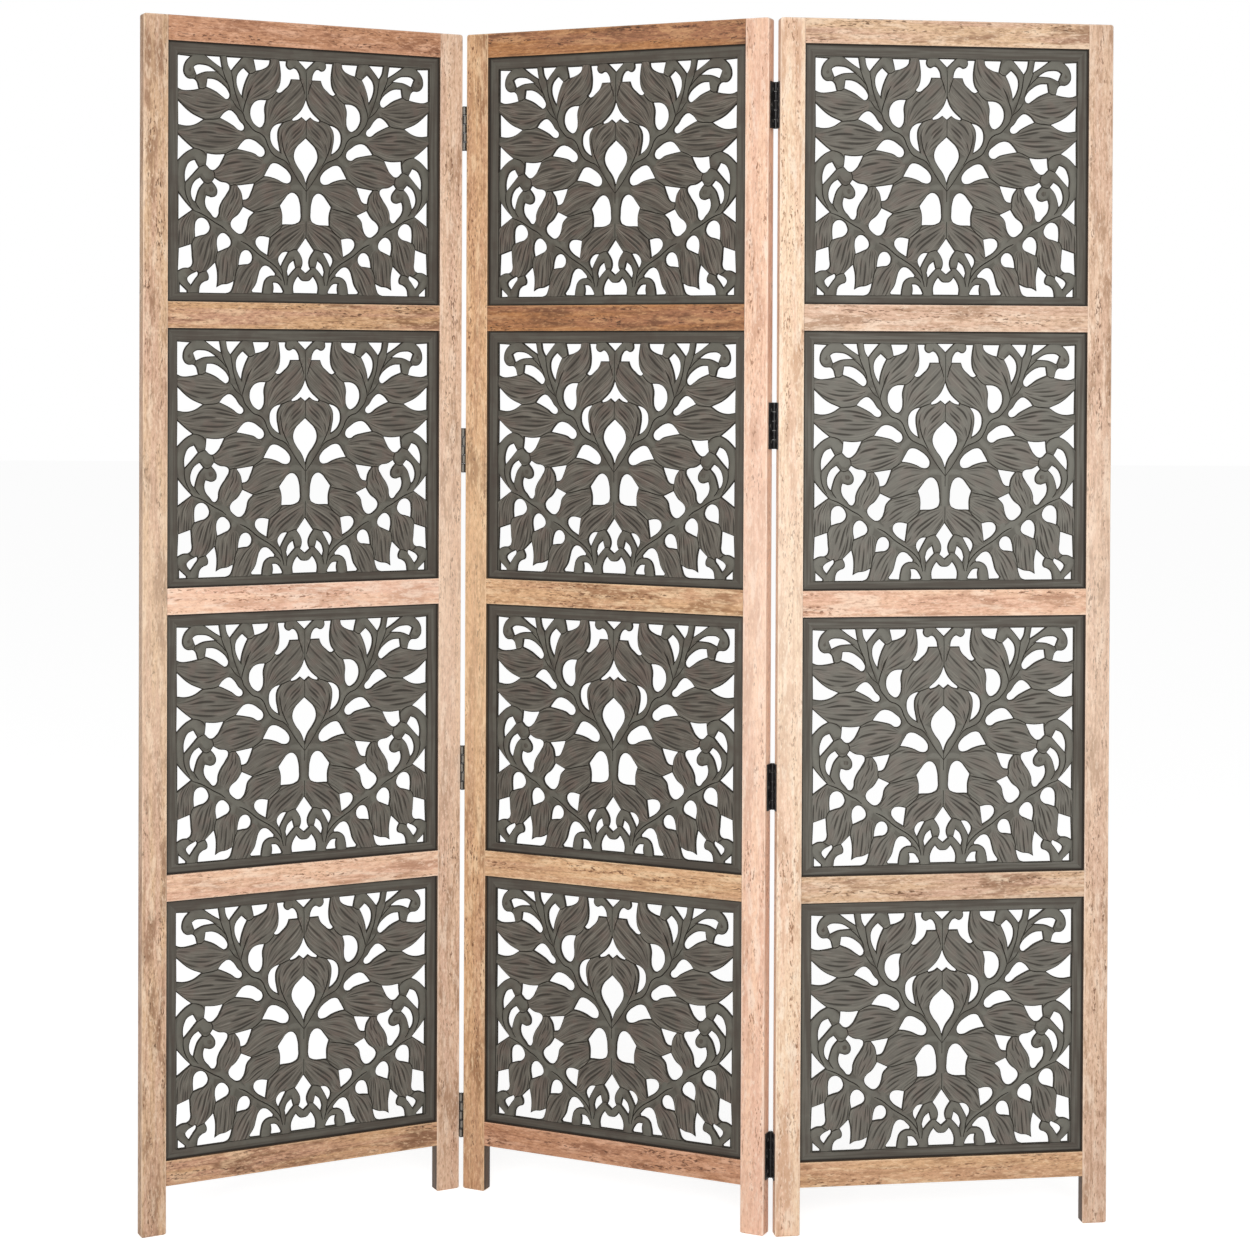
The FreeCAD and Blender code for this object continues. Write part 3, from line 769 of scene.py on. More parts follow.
def opening_cutter(name, half_width, height, rim, slope, middle, finish):
    """A cutter through all openings, as deep as the leaf is thick to both sides of its middle.

    With a rim its waist is that much wider than its flat ends, and the slopes between them are
    slope times as deep as the rim is wide.
    """
    curve = bpy.data.curves.new(name, "CURVE")
    curve.dimensions = "2D"
    curve.fill_mode = "BOTH"
    curve.resolution_u = 5
    curve.extrude = LEAF_THICKNESS / slope - rim
    curve.bevel_depth = rim
    curve.bevel_resolution = 0
    for ring in opening_rings():
        spline = curve.splines.new("BEZIER")
        spline.bezier_points.add(len(ring) - 1)
        spline.use_cyclic_u = True
        for knot, (x, z, sharp) in zip(spline.bezier_points, ring):
            knot.co = (-x * half_width, z * height, 0)
            knot.handle_left_type = "VECTOR" if sharp else "AUTO"
            knot.handle_right_type = knot.handle_left_type
    mesh = curve_mesh(curve)
    mesh.transform(Matrix.Translation((0, middle, 0)) @ Matrix.Rotation(math.pi / 2, 4, "X")
                   @ Matrix.Diagonal((1, 1, slope, 1)))
    return scratch_object(name, mesh, finish)


def opening_cutters(half_width, height, settings, finish):
    """The straight walls of the openings, and their eased edges at the front and the back."""
    rim = settings.rim_width
    front_end = BOARD_FRONT + settings.web_level + settings.rim_depth
    back_end = BOARD_BACK - settings.back_rim_depth
    return [
        opening_cutter("walls", half_width, height, 0, 1, BOARD_FRONT, finish),
        opening_cutter("front_rim", half_width, height, rim, settings.rim_depth / rim,
                       front_end - LEAF_THICKNESS, finish),
        opening_cutter("back_rim", half_width, height, rim, settings.back_rim_depth / rim,
                       back_end + LEAF_THICKNESS, finish),
    ]


def curve_mesh(curve):
    """The mesh of a curve."""
    holder = new_object(curve.name, curve)
    mesh = evaluated_mesh(holder)
    bpy.data.objects.remove(holder)
    return mesh


def along_margin(points, share):
    """A point at a share of the way along a smooth curve through the points."""
    place = min(max(share, 0), 1) * (len(points) - 1)
    index = min(int(place), len(points) - 2)
    t = place - index
    before = points[max(index - 1, 0)]
    start, end = points[index], points[index + 1]
    after = points[min(index + 2, len(points) - 1)]
    return 0.5 * (2 * start + (end - before) * t
                  + (2 * before - 5 * start + 4 * end - after) * t ** 2
                  + (3 * start - before - 3 * end + after) * t ** 3)


def gouge_cuts(rng, spacing):
    """The gouge cuts of one leaf: where each runs in the fan, its start and end, and strength."""
    cuts = []
    fan = rng.uniform(0, spacing) - GOUGE_FAN_REACH
    while fan < GOUGE_FAN_REACH:
        start = rng.uniform(*GOUGE_FIRST_START)
        while start < GOUGE_LAST_START:
            end = start + rng.uniform(*GOUGE_LENGTH)
            centre = fan + rng.uniform(*GOUGE_SHIFT) * spacing
            cuts.append((centre, start, end, rng.uniform(*GOUGE_STRENGTH)))
            start = end + rng.uniform(*GOUGE_GAP)
        fan += spacing * rng.uniform(*GOUGE_STEP)
    return cuts


def gouge_at(cuts, fan, along, spacing):
    """How deep the deepest gouge cut is at a point of a leaf, from 0 to 1."""
    deepest = 0.0
    for centre, start, end, strength in cuts:
        distance = abs(fan - centre) / (GOUGE_HALF_WIDTH * spacing)
        if distance < 2.5 and start < along < end:
            taper = math.sin(math.pi * (along - start) / (end - start)) ** GOUGE_FULLNESS
            deepest = max(deepest, strength * taper * math.exp(-distance ** 2))
    return deepest


def carved_leaf(name, shares, half_width, height, settings, finish, seed):
    """One carved leaf as a closed solid.

    Its first UV map says how far a vein fans out and how far along the leaf it is, and its second
    how deep the gouge cut is there and how near the margin.
    """
    base, tip, outer, inner = shares
    start, end = board_point(base, half_width, height), board_point(tip, half_width, height)
    margins = [
        [start] + [board_point(p, half_width, height) for p in points] + [end]
        for points in (inner, outer)
    ]
    bm = bmesh.new()
    bmesh.ops.create_grid(bm, x_segments=30, y_segments=56, size=0.5)
    layers = [bm.loops.layers.uv.new(layer) for layer in ("veins", "cuts")]
    rng = random.Random(seed)
    wander = rng.uniform(0, math.tau)
    spacing = settings.gouge_spacing_share
    cuts = gouge_cuts(rng, spacing)
    values = {}
    for vert in bm.verts:
        along, side = vert.co.x + 0.5, 2 * vert.co.y
        low, high = [along_margin(points, along) for points in margins]
        point = low.lerp(high, (side + 1) / 2)
        # A vein runs outwards on its way to the tip and wavers a little
        fan = (side / (VEIN_SPREAD + VEIN_SPREAD_GAIN * along)
               + VEIN_WAVER * math.sin(VEIN_WAVES * along + wander))
        fullness = math.sin(math.pi * min(max(along, 0), 1)) ** LEAF_FULLNESS
        swell = (1 - abs(side) ** LEAF_ROUNDNESS) * fullness
        gouge = gouge_at(cuts, fan, along, spacing) * fullness * (1 - side ** 6)
        point.y = (BOARD_FRONT + settings.margin_level - settings.leaf_crown * swell
                   + settings.gouge_depth * gouge)
        values[vert] = ((fan, along), (gouge, abs(side)))
        vert.co = point
    for face in bm.faces:
        for loop in face.loops:
            for layer, value in zip(layers, values[loop.vert]):
                loop[layer].uv = value
    # The back of the leaf lies a millimetre inside the ground, so that the two join cleanly
    made = bmesh.ops.extrude_face_region(bm, geom=bm.faces[:], use_keep_orig=True)
    for item in made["geom"]:
        if isinstance(item, bmesh.types.BMVert):
            item.co.y = BOARD_FRONT + settings.web_level + MM
    return shape_object(name, bm, finish)


def rod(name, points, half_width, height, finish):
    """A round rod through points of (x share, z share, radius in millimetres)."""
    curve = bpy.data.curves.new(name, "CURVE")
    curve.dimensions = "3D"
    curve.bevel_depth = MM
    curve.bevel_resolution = 3
    curve.resolution_u = 4
    curve.use_fill_caps = True
    spline = curve.splines.new("BEZIER")
    spline.bezier_points.add(len(points) - 1)
    for knot, (x, z, radius) in zip(spline.bezier_points, points):
        knot.co = board_point((x, z), half_width, height)
        knot.handle_left_type = "AUTO"
        knot.handle_right_type = "AUTO"
        knot.radius = radius
    return scratch_object(name, curve_mesh(curve), finish)


def squash_rod(shape, share, middle):
    """Flatten a rod that lies along the leaf's front face, and set its middle this deep."""
    flatten = Matrix.Diagonal((1, share, 1, 1))
    shape.data.transform(Matrix.Translation((0, middle, 0)) @ flatten)
    return shape


def set_in_ground(shape, settings):
    """Flatten a stem or a scroll's end and sink it in the ground of the carving."""
    middle = BOARD_FRONT + settings.web_level + settings.stem_sink
    return squash_rod(shape, settings.stem_crown_share, middle)


def carved_stem(name, points, half_width, height, settings, finish):
    """A stem or scroll as a flattened rod along its points, as a scratch object."""
    return set_in_ground(rod(name, points, half_width, height, finish), settings)


def v_cut(points, half_width, height, settings, finish):
    """The cutter of one V-cut, thinner towards both ends."""
    half_cut = settings.groove_width / 2 / MM
    last = len(points) - 1
    sized = [(x, z, half_cut * (0.6 if index in (0, last) else 1))
             for index, (x, z) in enumerate(points)]
    shape = rod("v_cut", sized, half_width, height, finish)
    # Flattened to 1.2 times the groove's depth, with the deepest point at the groove's depth
    middle = BOARD_FRONT + 0.4 * settings.groove_depth
    return squash_rod(shape, 1.2 * settings.groove_depth / settings.groove_width, middle)


def scroll_bulb(name, point, half_width, height, settings, finish):
    """The round end of a scroll, as a scratch object."""
    x, z, radius = point
    bm = bmesh.new()
    bmesh.ops.create_uvsphere(bm, u_segments=24, v_segments=14, radius=radius * MM)
    bmesh.ops.rotate(bm, verts=bm.verts[:], matrix=Matrix.Rotation(math.pi / 2, 3, "X"))
    bmesh.ops.translate(bm, verts=bm.verts[:], vec=board_point((x, z), half_width, height))
    return set_in_ground(shape_object(name + "_bulb", bm, finish), settings)


def ground_cutter(half_width, height, settings, ground_finish, wall_and_shade_finish):
    """The cutter that sinks the ground of the carving inside the border; its walls take the dark wall finish,
    soaked wash with painted shade.
    """
    side = BORDER_SIDE_SHARE * half_width
    pocket = block("ground", (-side, -BOARD_FRONT, BORDER_LOW_SHARE * height),
                   (side, BOARD_FRONT + settings.web_level, BORDER_HIGH_SHARE * height),
                   ground_finish)
    pocket.data.materials.append(wall_and_shade_finish)
    for face in pocket.data.polygons:
        face.material_index = 0 if abs(face.normal.y) > 0.5 else 1
    return pocket


def carved_board(half_width, height, tongue, settings, finishes):
    """The mesh of one board: border, leaves and stems in relief, and pierced openings."""
    stem_finish, leaf_finish, wall_and_shade_finish = finishes
    sizes = (half_width, height, settings)
    base = block("board", (-half_width - tongue, BOARD_FRONT, -tongue),
                 (half_width + tongue, BOARD_BACK, height + tongue), stem_finish)
    tools = [("DIFFERENCE", ground_cutter(*sizes, stem_finish, wall_and_shade_finish))]
    for seed, (name, shares) in enumerate(LEAF_SHARES.items()):
        tools.append(("UNION", carved_leaf(name, shares, *sizes, leaf_finish, seed)))
    for name, points in STEM_SHARES.items():
        tools.append(("UNION", carved_stem(name, points, *sizes, stem_finish)))
    for name, points in SCROLL_SHARES.items():
        tools.append(("UNION", carved_stem(name, points, *sizes, stem_finish)))
        tools.append(("UNION", scroll_bulb(name, points[-1], *sizes, stem_finish)))
    # V-cuts and the openings' walls and eased edges take the dark wall finish: soaked wash and painted shade
    for points in GROOVE_SHARES:
        tools.append(("DIFFERENCE", v_cut(points, *sizes, wall_and_shade_finish)))
    for cutter in opening_cutters(*sizes, wall_and_shade_finish):
        tools.append(("DIFFERENCE", cutter))
    mesh = carve(base, tools)
    finish_board(mesh)
    return mesh


def finish_board(mesh):
    """Mirror the finished left half, and note where each point of the carving lies."""
    bm = bmesh.new()
    bm.from_mesh(mesh)
    bmesh.ops.bisect_plane(
        bm, geom=bm.verts[:] + bm.edges[:] + bm.faces[:], plane_co=(0, 0, 0),
        plane_no=(1, 0, 0), clear_outer=True, dist=MERGE_DISTANCE)
    bmesh.ops.mirror(bm, geom=bm.verts[:] + bm.edges[:] + bm.faces[:], axis="X",
                     merge_dist=MERGE_DISTANCE)
    bmesh.ops.recalc_face_normals(bm, faces=bm.faces[:])
    place = bm.verts.layers.float_vector.new("board_place")
    for vert in bm.verts:
        vert[place] = vert.co
    mark_sharp_edges(bm, BOARD_CREASE)
    bm.to_mesh(mesh)
    bm.free()


def set_value(mesh, name, value):
    """Give a whole mesh one value that its material reads."""
    layer = mesh.attributes.new(name, "FLOAT", "POINT")
    layer.data.foreach_set("value", [value] * len(mesh.vertices))


def leaf_veins(tree, tone, wash, tint, settings):
    """A leaf's colour with its fine veins, and how dark its gouge cuts are painted, for settled wash and shade."""
    veins = add_node(tree, "ShaderNodeUVMap", uv_map="veins").outputs[0]
    cuts = add_node(tree, "ShaderNodeUVMap", uv_map="cuts").outputs[0]
    gouge, rim, _ = add_node(tree, "ShaderNodeSeparateXYZ", {"Vector": cuts}).outputs
    rusty = stretched_noise(tree, attribute(tree, "board_place"),
                            calculate(tree, "ADD", tone, 31.0), scale_for(20, 20, 20))
    tint = blend(tree, tint, shade("rusty_leaf"), rusty, 0.47, 0.62, 0, 0.75)
    thin = calculate(tree, "MULTIPLY", calculate(tree, "SUBTRACT", 1.0, wash), 0.3)
    tint = mix_colours(tree, thin, tint, shade("thinly_washed_leaf"))
    tint = blend(tree, tint, linear(settings.stem_colour), rim, 0.45, 0.95, 0, 0.85)
    coarse = stretched_noise(tree, veins, tone, (11.0, 1.6, 1.0))
    fine = stretched_noise(tree, veins, tone, (34.0, 3.0, 1.0))
    tint = blend(tree, tint, shade("coarse_vein"), coarse, 0.50, 0.68, 0, 0.7)
    tint = blend(tree, tint, shade("fine_vein"), fine, 0.50, 0.68, 0, 0.5)
    tint = blend(tree, tint, shade("vein_shadow"), fine, 0.50, 0.30, 0, 0.4)
    return tint, ramp_between(tree, frayed(tree, gouge, fine, 0.4), 0.12, 0.6, 0, 0.8)


def washed_carving(name, colour, settings, half_width, height, has_veins=False):
    """Mango board under a matt grey-brown wash; the gouge cuts, the sunk ground and the band along the frame are
    darkened by settled wash and painted shade.
    """
    material, tree = new_material(name)
    place = attribute(tree, "board_place")
    tone = calculate(tree, "MULTIPLY", attribute(tree, "tone", "Fac"), 60.0)
    wash = attribute(tree, "wash", "Fac")
    x, y, z = add_node(tree, "ShaderNodeSeparateXYZ", {"Vector": place}).outputs
    cloudy = stretched_noise(tree, place, tone, scale_for(14, 14, 14), 4.0)
    tint = blend(tree, linear(colour), shade("pale_cloud"), cloudy, 0.38, 0.72, 0, 0.5)
    blotchy = stretched_noise(tree, place, calculate(tree, "ADD", tone, 17.0),
                              scale_for(26, 26, 26))
    tint = blend(tree, tint, shade("brown_blotch"), blotchy, 0.48, 0.68, 0, 0.7)
    cut = 0.0
    if has_veins:
        tint, cut = leaf_veins(tree, tone, wash, tint, settings)
    tint = mix_colours(tree, calculate(tree, "MULTIPLY", wash, 0.44), tint, shade("chalky_wash"))
    # Gouge cuts darkened by settled wash and painted shade
    tint = mix_colours(tree, cut, tint, shade("gouge_cut"))
    # Painted shade, with some settled wash, darkens the ground the deeper it is sunk
    depth = calculate(tree, "SUBTRACT", y, BOARD_FRONT)
    tint = blend(tree, tint, shade("sunk_ground_wash_and_shade"), depth, 0.9 * MM, settings.web_level, 0, 0.35)
    from_stile = calculate(tree, "SUBTRACT", half_width, calculate(tree, "ABSOLUTE", x))
    from_middle = calculate(tree, "ABSOLUTE", calculate(tree, "SUBTRACT", z, height / 2))
    from_rail = calculate(tree, "SUBTRACT", height / 2, from_middle)
    # The border was planed along each of its sides; the sunk carving has no such marks
    upright = stretched_noise(tree, place, tone, scale_for(4, 4, 120))
    lying = stretched_noise(tree, place, tone, scale_for(120, 4, 4))
    is_upright = calculate(tree, "LESS_THAN", from_stile, from_rail)
    planed = mix_colours(tree, is_upright, lying, upright)
    marks = calculate(tree, "SUBTRACT", ramp_between(tree, planed, 0.38, 0.66, 0.75, 0.25),
                      ramp_between(tree, depth, 0.05 * MM, 0.15 * MM))
    tint = mix_colours(tree, marks, tint, shade("planed_border"))
    # Painted shadow of the frame, with some settled wash, darkens the border's outer few millimetres
    from_frame = calculate(tree, "MINIMUM", from_stile, from_rail)
    tint = blend(tree, tint, linear(settings.hollow_wash_and_shade_colour), from_frame,
                 1.0 * MM, 3.8 * MM, 0.92, 0)
    bump = add_node(tree, "ShaderNodeBump", {
        "Height": cloudy, "Strength": 0.25, "Distance": 0.4 * MM})
    shader = add_node(tree, "ShaderNodeBsdfPrincipled", {
        "Base Color": tint, "Roughness": 0.7, "Specular IOR Level": 0.22,
        "Normal": bump.outputs[0]})
    finish_material(tree, shader)
    return material


def wall_and_shade_material(settings):
    """Saw-cut walls of the openings, the V-cuts and the sunk ground: dark wash soaked into end grain, darkened
    further as painted shade, matt.
    """
    material, tree = new_material("shaded_dark_washed_sawn_mango")
    tint = blend(tree, linear(settings.hollow_wash_and_shade_colour), shade("sawn_end_grain"),
                 object_noise(tree, 4), 0.4, 0.7, 0, 1)
    wash = calculate(tree, "MULTIPLY", attribute(tree, "wash", "Fac"), 0.4)
    tint = mix_colours(tree, wash, tint, shade("washed_end_grain"))
    shader = add_node(tree, "ShaderNodeBsdfPrincipled", {
        "Base Color": tint, "Roughness": 0.85, "Specular IOR Level": 0.15})
    finish_material(tree, shader)
    return material


class JALI_OT_carved_boards(bpy.types.Operator):
    """Carve the pierced boards and set them in the leaves."""
    bl_idname = "jali.carved_boards"
    bl_label = "Carved boards"

    def execute(self, context):
        settings = context.scene.jali_carving
        rows = opening_rows()
        low, high = rows[BOARDS[0]]
        width = leaf_width()
        half_width, height = width / 2 - STILE_WIDTH, high - low
        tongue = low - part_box(LEAVES[0] + "_bottom_carving")[0].z
        materials = (
            washed_carving("grey_washed_mango", settings.stem_colour, settings, half_width, height),
            washed_carving("brown_washed_mango", settings.leaf_colour, settings, half_width, height,
                           has_veins=True),
            wall_and_shade_material(settings),
        )
        board = carved_board(half_width, height, tongue, settings, materials)
        tones = random.Random(7)
        for leaf in LEAVES:
            for name, wash in zip(BOARDS, BOARD_WASH_SHARES[leaf]):
                base = rows[name][0]
                mesh = board.copy()
                set_value(mesh, "tone", tones.random())
                set_value(mesh, "wash", wash)
                mesh.transform(leaf_place(leaf) @ Matrix.Translation((width / 2, 0, base)))
                make_piece(f"{leaf}_{name}_jali_board", mesh, leaf,
                           [f"{leaf}_{name}_carving"])
        bpy.data.meshes.remove(board)
        return {"FINISHED"}


def timber_edges(bm, is_stile, low, high):
    """The long arrises of a rail, or the arrises of a stile's front and back face."""
    faces_y = (low.y, high.y)
    for edge in bm.edges:
        ends = [vert.co for vert in edge.verts]
        if not edge.is_manifold or edge.calc_face_angle_signed() < math.radians(60):
            continue
        on_face = any(all(abs(end.y - y) < MERGE_DISTANCE for end in ends) for y in faces_y)
        runs_along_rail = abs(ends[0].x - ends[1].x) > STILE_WIDTH
        if on_face and (is_stile or runs_along_rail):
            yield edge


def faces_an_opening(face, is_stile, rows, width):
    """Whether a face of a stile or rail looks towards the carved boards."""
    middle = face.calc_center_median()
    if is_stile:
        inner = min(abs(middle.x - STILE_WIDTH), abs(middle.x - width + STILE_WIDTH))
        return abs(face.normal.x) > 0.9 and inner < MM
    bounds = [bound for row in rows for bound in row]
    return abs(face.normal.z) > 0.9 and min(abs(middle.z - bound) for bound in bounds) < MM


def timber_mesh(node, place, is_stile, settings, tone):
    """A rail or stile with sanded arrises, and where each point lies in the board's grain."""
    rows, width = opening_rows().values(), leaf_width()
    bm = bmesh.new()
    bm.from_mesh(frame["nodes"][node].data)
    bmesh.ops.transform(bm, matrix=place.inverted(), verts=bm.verts[:])
    bmesh.ops.remove_doubles(bm, verts=bm.verts[:], dist=MERGE_DISTANCE)
    bmesh.ops.recalc_face_normals(bm, faces=bm.faces[:])
    bmesh.ops.dissolve_limit(bm, angle_limit=math.radians(1), verts=bm.verts[:],
                             edges=bm.edges[:])
    low = Vector([min(vert.co[axis] for vert in bm.verts) for axis in range(3)])
    high = Vector([max(vert.co[axis] for vert in bm.verts) for axis in range(3)])
    if is_stile:
        outer_x = low.x if low.x < STILE_WIDTH / 2 else high.x
        corners = [edge for edge in bm.edges
                   if all(abs(vert.co.x - outer_x) < MERGE_DISTANCE
                          and abs(vert.co.z - high.z) < MERGE_DISTANCE for vert in edge.verts)]
        round_edges(bm, corners, settings.corner_radius, 5)
    arrises = list(timber_edges(bm, is_stile, low, high))
    round_edges(bm, arrises, settings.arris_radius, 3, clamp_overlap=True)
    bm.normal_update()
    washed = bm.loops.layers.uv.new("washed")
    for face in bm.faces:
        if faces_an_opening(face, is_stile, rows, width):
            for loop in face.loops:
                loop[washed].uv = (1, 0)
    grain_place = bm.verts.layers.float_vector.new("grain_place")
    grain_reach = bm.verts.layers.float_vector.new("grain_reach")
    middle, half = (low + high) / 2, (high - low) / 2
    along, across, through = (2, 0, 1) if is_stile else (0, 2, 1)
    # The ends of a rail are hidden in the stiles, so they count as lying further off
    reach = (half[along] * (1 if is_stile else 2), half[across], half[through])
    for vert in bm.verts:
        offset = vert.co - middle
        vert[grain_place] = (offset[along], offset[across], offset[through])
        vert[grain_reach] = reach
    bmesh.ops.transform(bm, matrix=place, verts=bm.verts[:])
    mark_sharp_edges(bm, TIMBER_CREASE)
    mesh = new_mesh(node, bm)
    set_value(mesh, "tone", tone)
    return mesh


def oiled_mango(name, colours, settings):
    """Oiled mango: mottled open grain, crowds of dark pores, smoky patches, sanded pale edges."""
    material, tree = new_material("oiled_mango_" + name)
    place = attribute(tree, "grain_place")
    tone = calculate(tree, "MULTIPLY", attribute(tree, "tone", "Fac"), 90.0)

    def noise(shift, length, width, detail=2.0, roughness=0.5):
        seed = calculate(tree, "ADD", tone, shift)
        return stretched_noise(tree, place, seed, scale_for(length, width, width), detail,
                               roughness)

    main, drift, patch, pore_colour, pale = [linear(colour) for colour in colours]
    wide_drift = noise(0.0, 240, 14)
    smoke = noise(11.0, 95, 24, 4.0, 0.62)
    streak = noise(23.0, 80, 3.4, 3.0, 0.6)
    cream = noise(31.0, 60, 11, 3.0, 0.55)
    mottle = noise(37.0, 9, 2.8, 3.0, 0.68)
    layers = (
        (drift, wide_drift, 0.38, 0.62, 0, 1),
        (patch, smoke, 0.52, 0.62, 0, 0.72),
        (patch, streak, 0.48, 0.66, 0, 0.5),
        (pale, cream, 0.53, 0.64, 0, 0.6),
        (patch, mottle, 0.51, 0.66, 0, 0.6),
        (pale, mottle, 0.48, 0.34, 0, 0.6),
    )
    tint = main
    for layer in layers:
        tint = blend(tree, tint, *layer)
    # Real pores are a quarter of a millimetre wide; these are drawn wider so that they show
    pore = ramp_between(tree, noise(47.0, 8, 2.4, 2.0, 0.6), 0.53, 0.63)
    crowd = ramp_between(tree, noise(53.0, 110, 12, 3.0, 0.6), 0.50, 0.60, 0.12, 0.9)
    tint = mix_colours(tree, calculate(tree, "MULTIPLY", pore, crowd), tint, pore_colour)
    offset = add_node(tree, "ShaderNodeVectorMath", {0: place}, operation="ABSOLUTE").outputs[0]
    depth = add_node(tree, "ShaderNodeVectorMath", {0: attribute(tree, "grain_reach"), 1: offset},
                     operation="SUBTRACT").outputs[0]
    x, y, z = add_node(tree, "ShaderNodeSeparateXYZ", {"Vector": depth}).outputs
    # Side faces are painted darker, as shade. A stile is paler halfway up and darker towards its ends.
    tint = blend(tree, tint, patch, y, 0.1 * MM, 0.5 * MM, 0.22, 0)
    tint = blend(tree, tint, pale, x, 450 * MM, 850 * MM, 0, 0.3)
    tint = blend(tree, tint, patch, x, 20 * MM, 300 * MM, 0.15, 0)
    nearest_edge = calculate(
        tree, "MAXIMUM", calculate(tree, "MINIMUM", x, y),
        calculate(tree, "MINIMUM", calculate(tree, "MAXIMUM", x, y), z))
    wear = calculate(tree, "MULTIPLY",
                     ramp_between(tree, nearest_edge, 0.4 * MM, settings.wear_width, 0.7, 0),
                     ramp_between(tree, streak, 0.3, 0.6, 1.0, 0.3))
    tint = mix_colours(tree, wear, tint, pale)
    # The UV map is 1 on the frame faces towards the boards, where dark wash and painted shade lie
    washed_and_shaded_map = add_node(tree, "ShaderNodeUVMap", uv_map="washed").outputs[0]
    is_washed_and_shaded, _, _ = add_node(tree, "ShaderNodeSeparateXYZ", {"Vector": washed_and_shaded_map}).outputs
    wash = calculate(tree, "MULTIPLY", is_washed_and_shaded, ramp_between(tree, streak, 0.35, 0.6, 0.95, 0.8))
    tint = mix_colours(tree, wash, tint, linear(settings.edge_wash_and_shade_colour))
    bump = add_node(tree, "ShaderNodeBump", {
        "Height": pore, "Strength": 0.4, "Distance": 0.3 * MM}, invert=True)
    bump = add_node(tree, "ShaderNodeBump", {
        "Height": streak, "Strength": 0.25, "Distance": 0.3 * MM, "Normal": bump.outputs[0]})
    shader = add_node(tree, "ShaderNodeBsdfPrincipled", {
        "Base Color": tint, "Roughness": ramp_between(tree, streak, 0.3, 0.7, 0.5, 0.62),
        "Specular IOR Level": 0.35, "Normal": bump.outputs[0]})
    finish_material(tree, shader)
    return material


class JALI_OT_timber(bpy.types.Operator):
    """Dress the rails and stiles of the three frames."""
    bl_idname = "jali.timber"
    bl_label = "Timber frames"

    def execute(self, context):
        settings = context.scene.jali_timber
        finishes = {name: oiled_mango(name, colours, settings)
                    for name, colours in TINT_COLOURS.items()}
        tones = random.Random(31)
        for leaf, tints in TIMBER_TINTS.items():
            for member, tint in tints.items():
                node = f"{leaf}_{member}"
                mesh = timber_mesh(node, leaf_place(leaf), member.endswith("stile"), settings,
                                   tones.random())
                mesh.materials.append(finishes[tint])
                make_piece(node + "_timber", mesh, leaf, [node])
        return {"FINISHED"}


def black_lacquer(settings):
    """Black lacquered steel: dark and smooth, worn bright on the crowns of the knuckles, with a painted highlight
    there.
    """
    material, tree = new_material("black_lacquered_steel")
    orange_peel, wear = object_noise(tree, 1.2), object_noise(tree, 5, 4.0)
    tint = blend(tree, linear(settings.paint_colour), shade("worn_lacquer"), wear,
                 0.5, 0.75, 0, 0.5)
    # The knuckles' crowns: worn bare and lighter as a painted highlight
    worn_and_highlit = frayed(tree, attribute(tree, "worn_and_highlit", "Fac"), wear, 0.6)
    tint = blend(tree, tint, shade("worn_and_highlit_crown"), worn_and_highlit, 0.45, 0.95, 0, 0.8)
    bump = add_node(tree, "ShaderNodeBump", {
        "Height": orange_peel, "Strength": 0.15, "Distance": 0.05 * MM})
    shader = add_node(tree, "ShaderNodeBsdfPrincipled", {
        "Base Color": tint, "Roughness": ramp_between(tree, wear, 0.42, 0.58, 0.32, 0.62),
        "Specular IOR Level": 0.4, "Normal": bump.outputs[0]})
    finish_material(tree, shader)
    return material


def bare_steel(settings):
    """Zinc-plated steel pins and screws: grey metal with fine turning marks."""
    material, tree = new_material("zinc_plated_steel")
    marks = object_noise(tree, 0.8, 3.0)
    tint = blend(tree, linear(settings.steel_colour), shade("dull_zinc"), marks, 0.3, 0.7, 0, 1)
    shader = add_node(tree, "ShaderNodeBsdfPrincipled", {
        "Base Color": tint, "Metallic": 1.0,
        "Roughness": ramp_between(tree, marks, 0.3, 0.7, 0.3, 0.5)})
    finish_material(tree, shader)
    return material


def hinge_heights(side):
    """Height of the middle of each hinge of a joint, from its pins."""
    pins = frame["nodes"][side + "_hinge_pins"].data
    levels = sorted({round(vert.co.z, 5) for vert in pins.vertices})
    return [(low + high) / 2 for low, high in zip(levels[::2], levels[1::2])]


def knuckle_tube(settings, low, high):
    """One rolled knuckle with softened rims, as a bmesh about the z axis."""
    outer, inner = settings.knuckle_radius, settings.pin_radius + 0.05 * MM
    rim = 0.25 * MM
    shoulder = 1.6 * MM
    profile = [(inner, low), (outer - rim, low), (outer, low + rim), (outer, low + shoulder),
               (outer, high - shoulder), (outer, high - rim), (outer - rim, high), (inner, high)]
    return turned(profile, 32, is_ring=True)


def screw_places(settings, proud):
    """Where the three screws of a flap sit: depth into the stile's edge, and height."""
    near = proud + LEAF_THICKNESS * OUTER_SCREW_SHARE
    far = proud + LEAF_THICKNESS * MIDDLE_SCREW_SHARE
    spacing = settings.height * SCREW_SPACING_SHARE
    return [(near, -spacing), (far, 0), (near, spacing)]


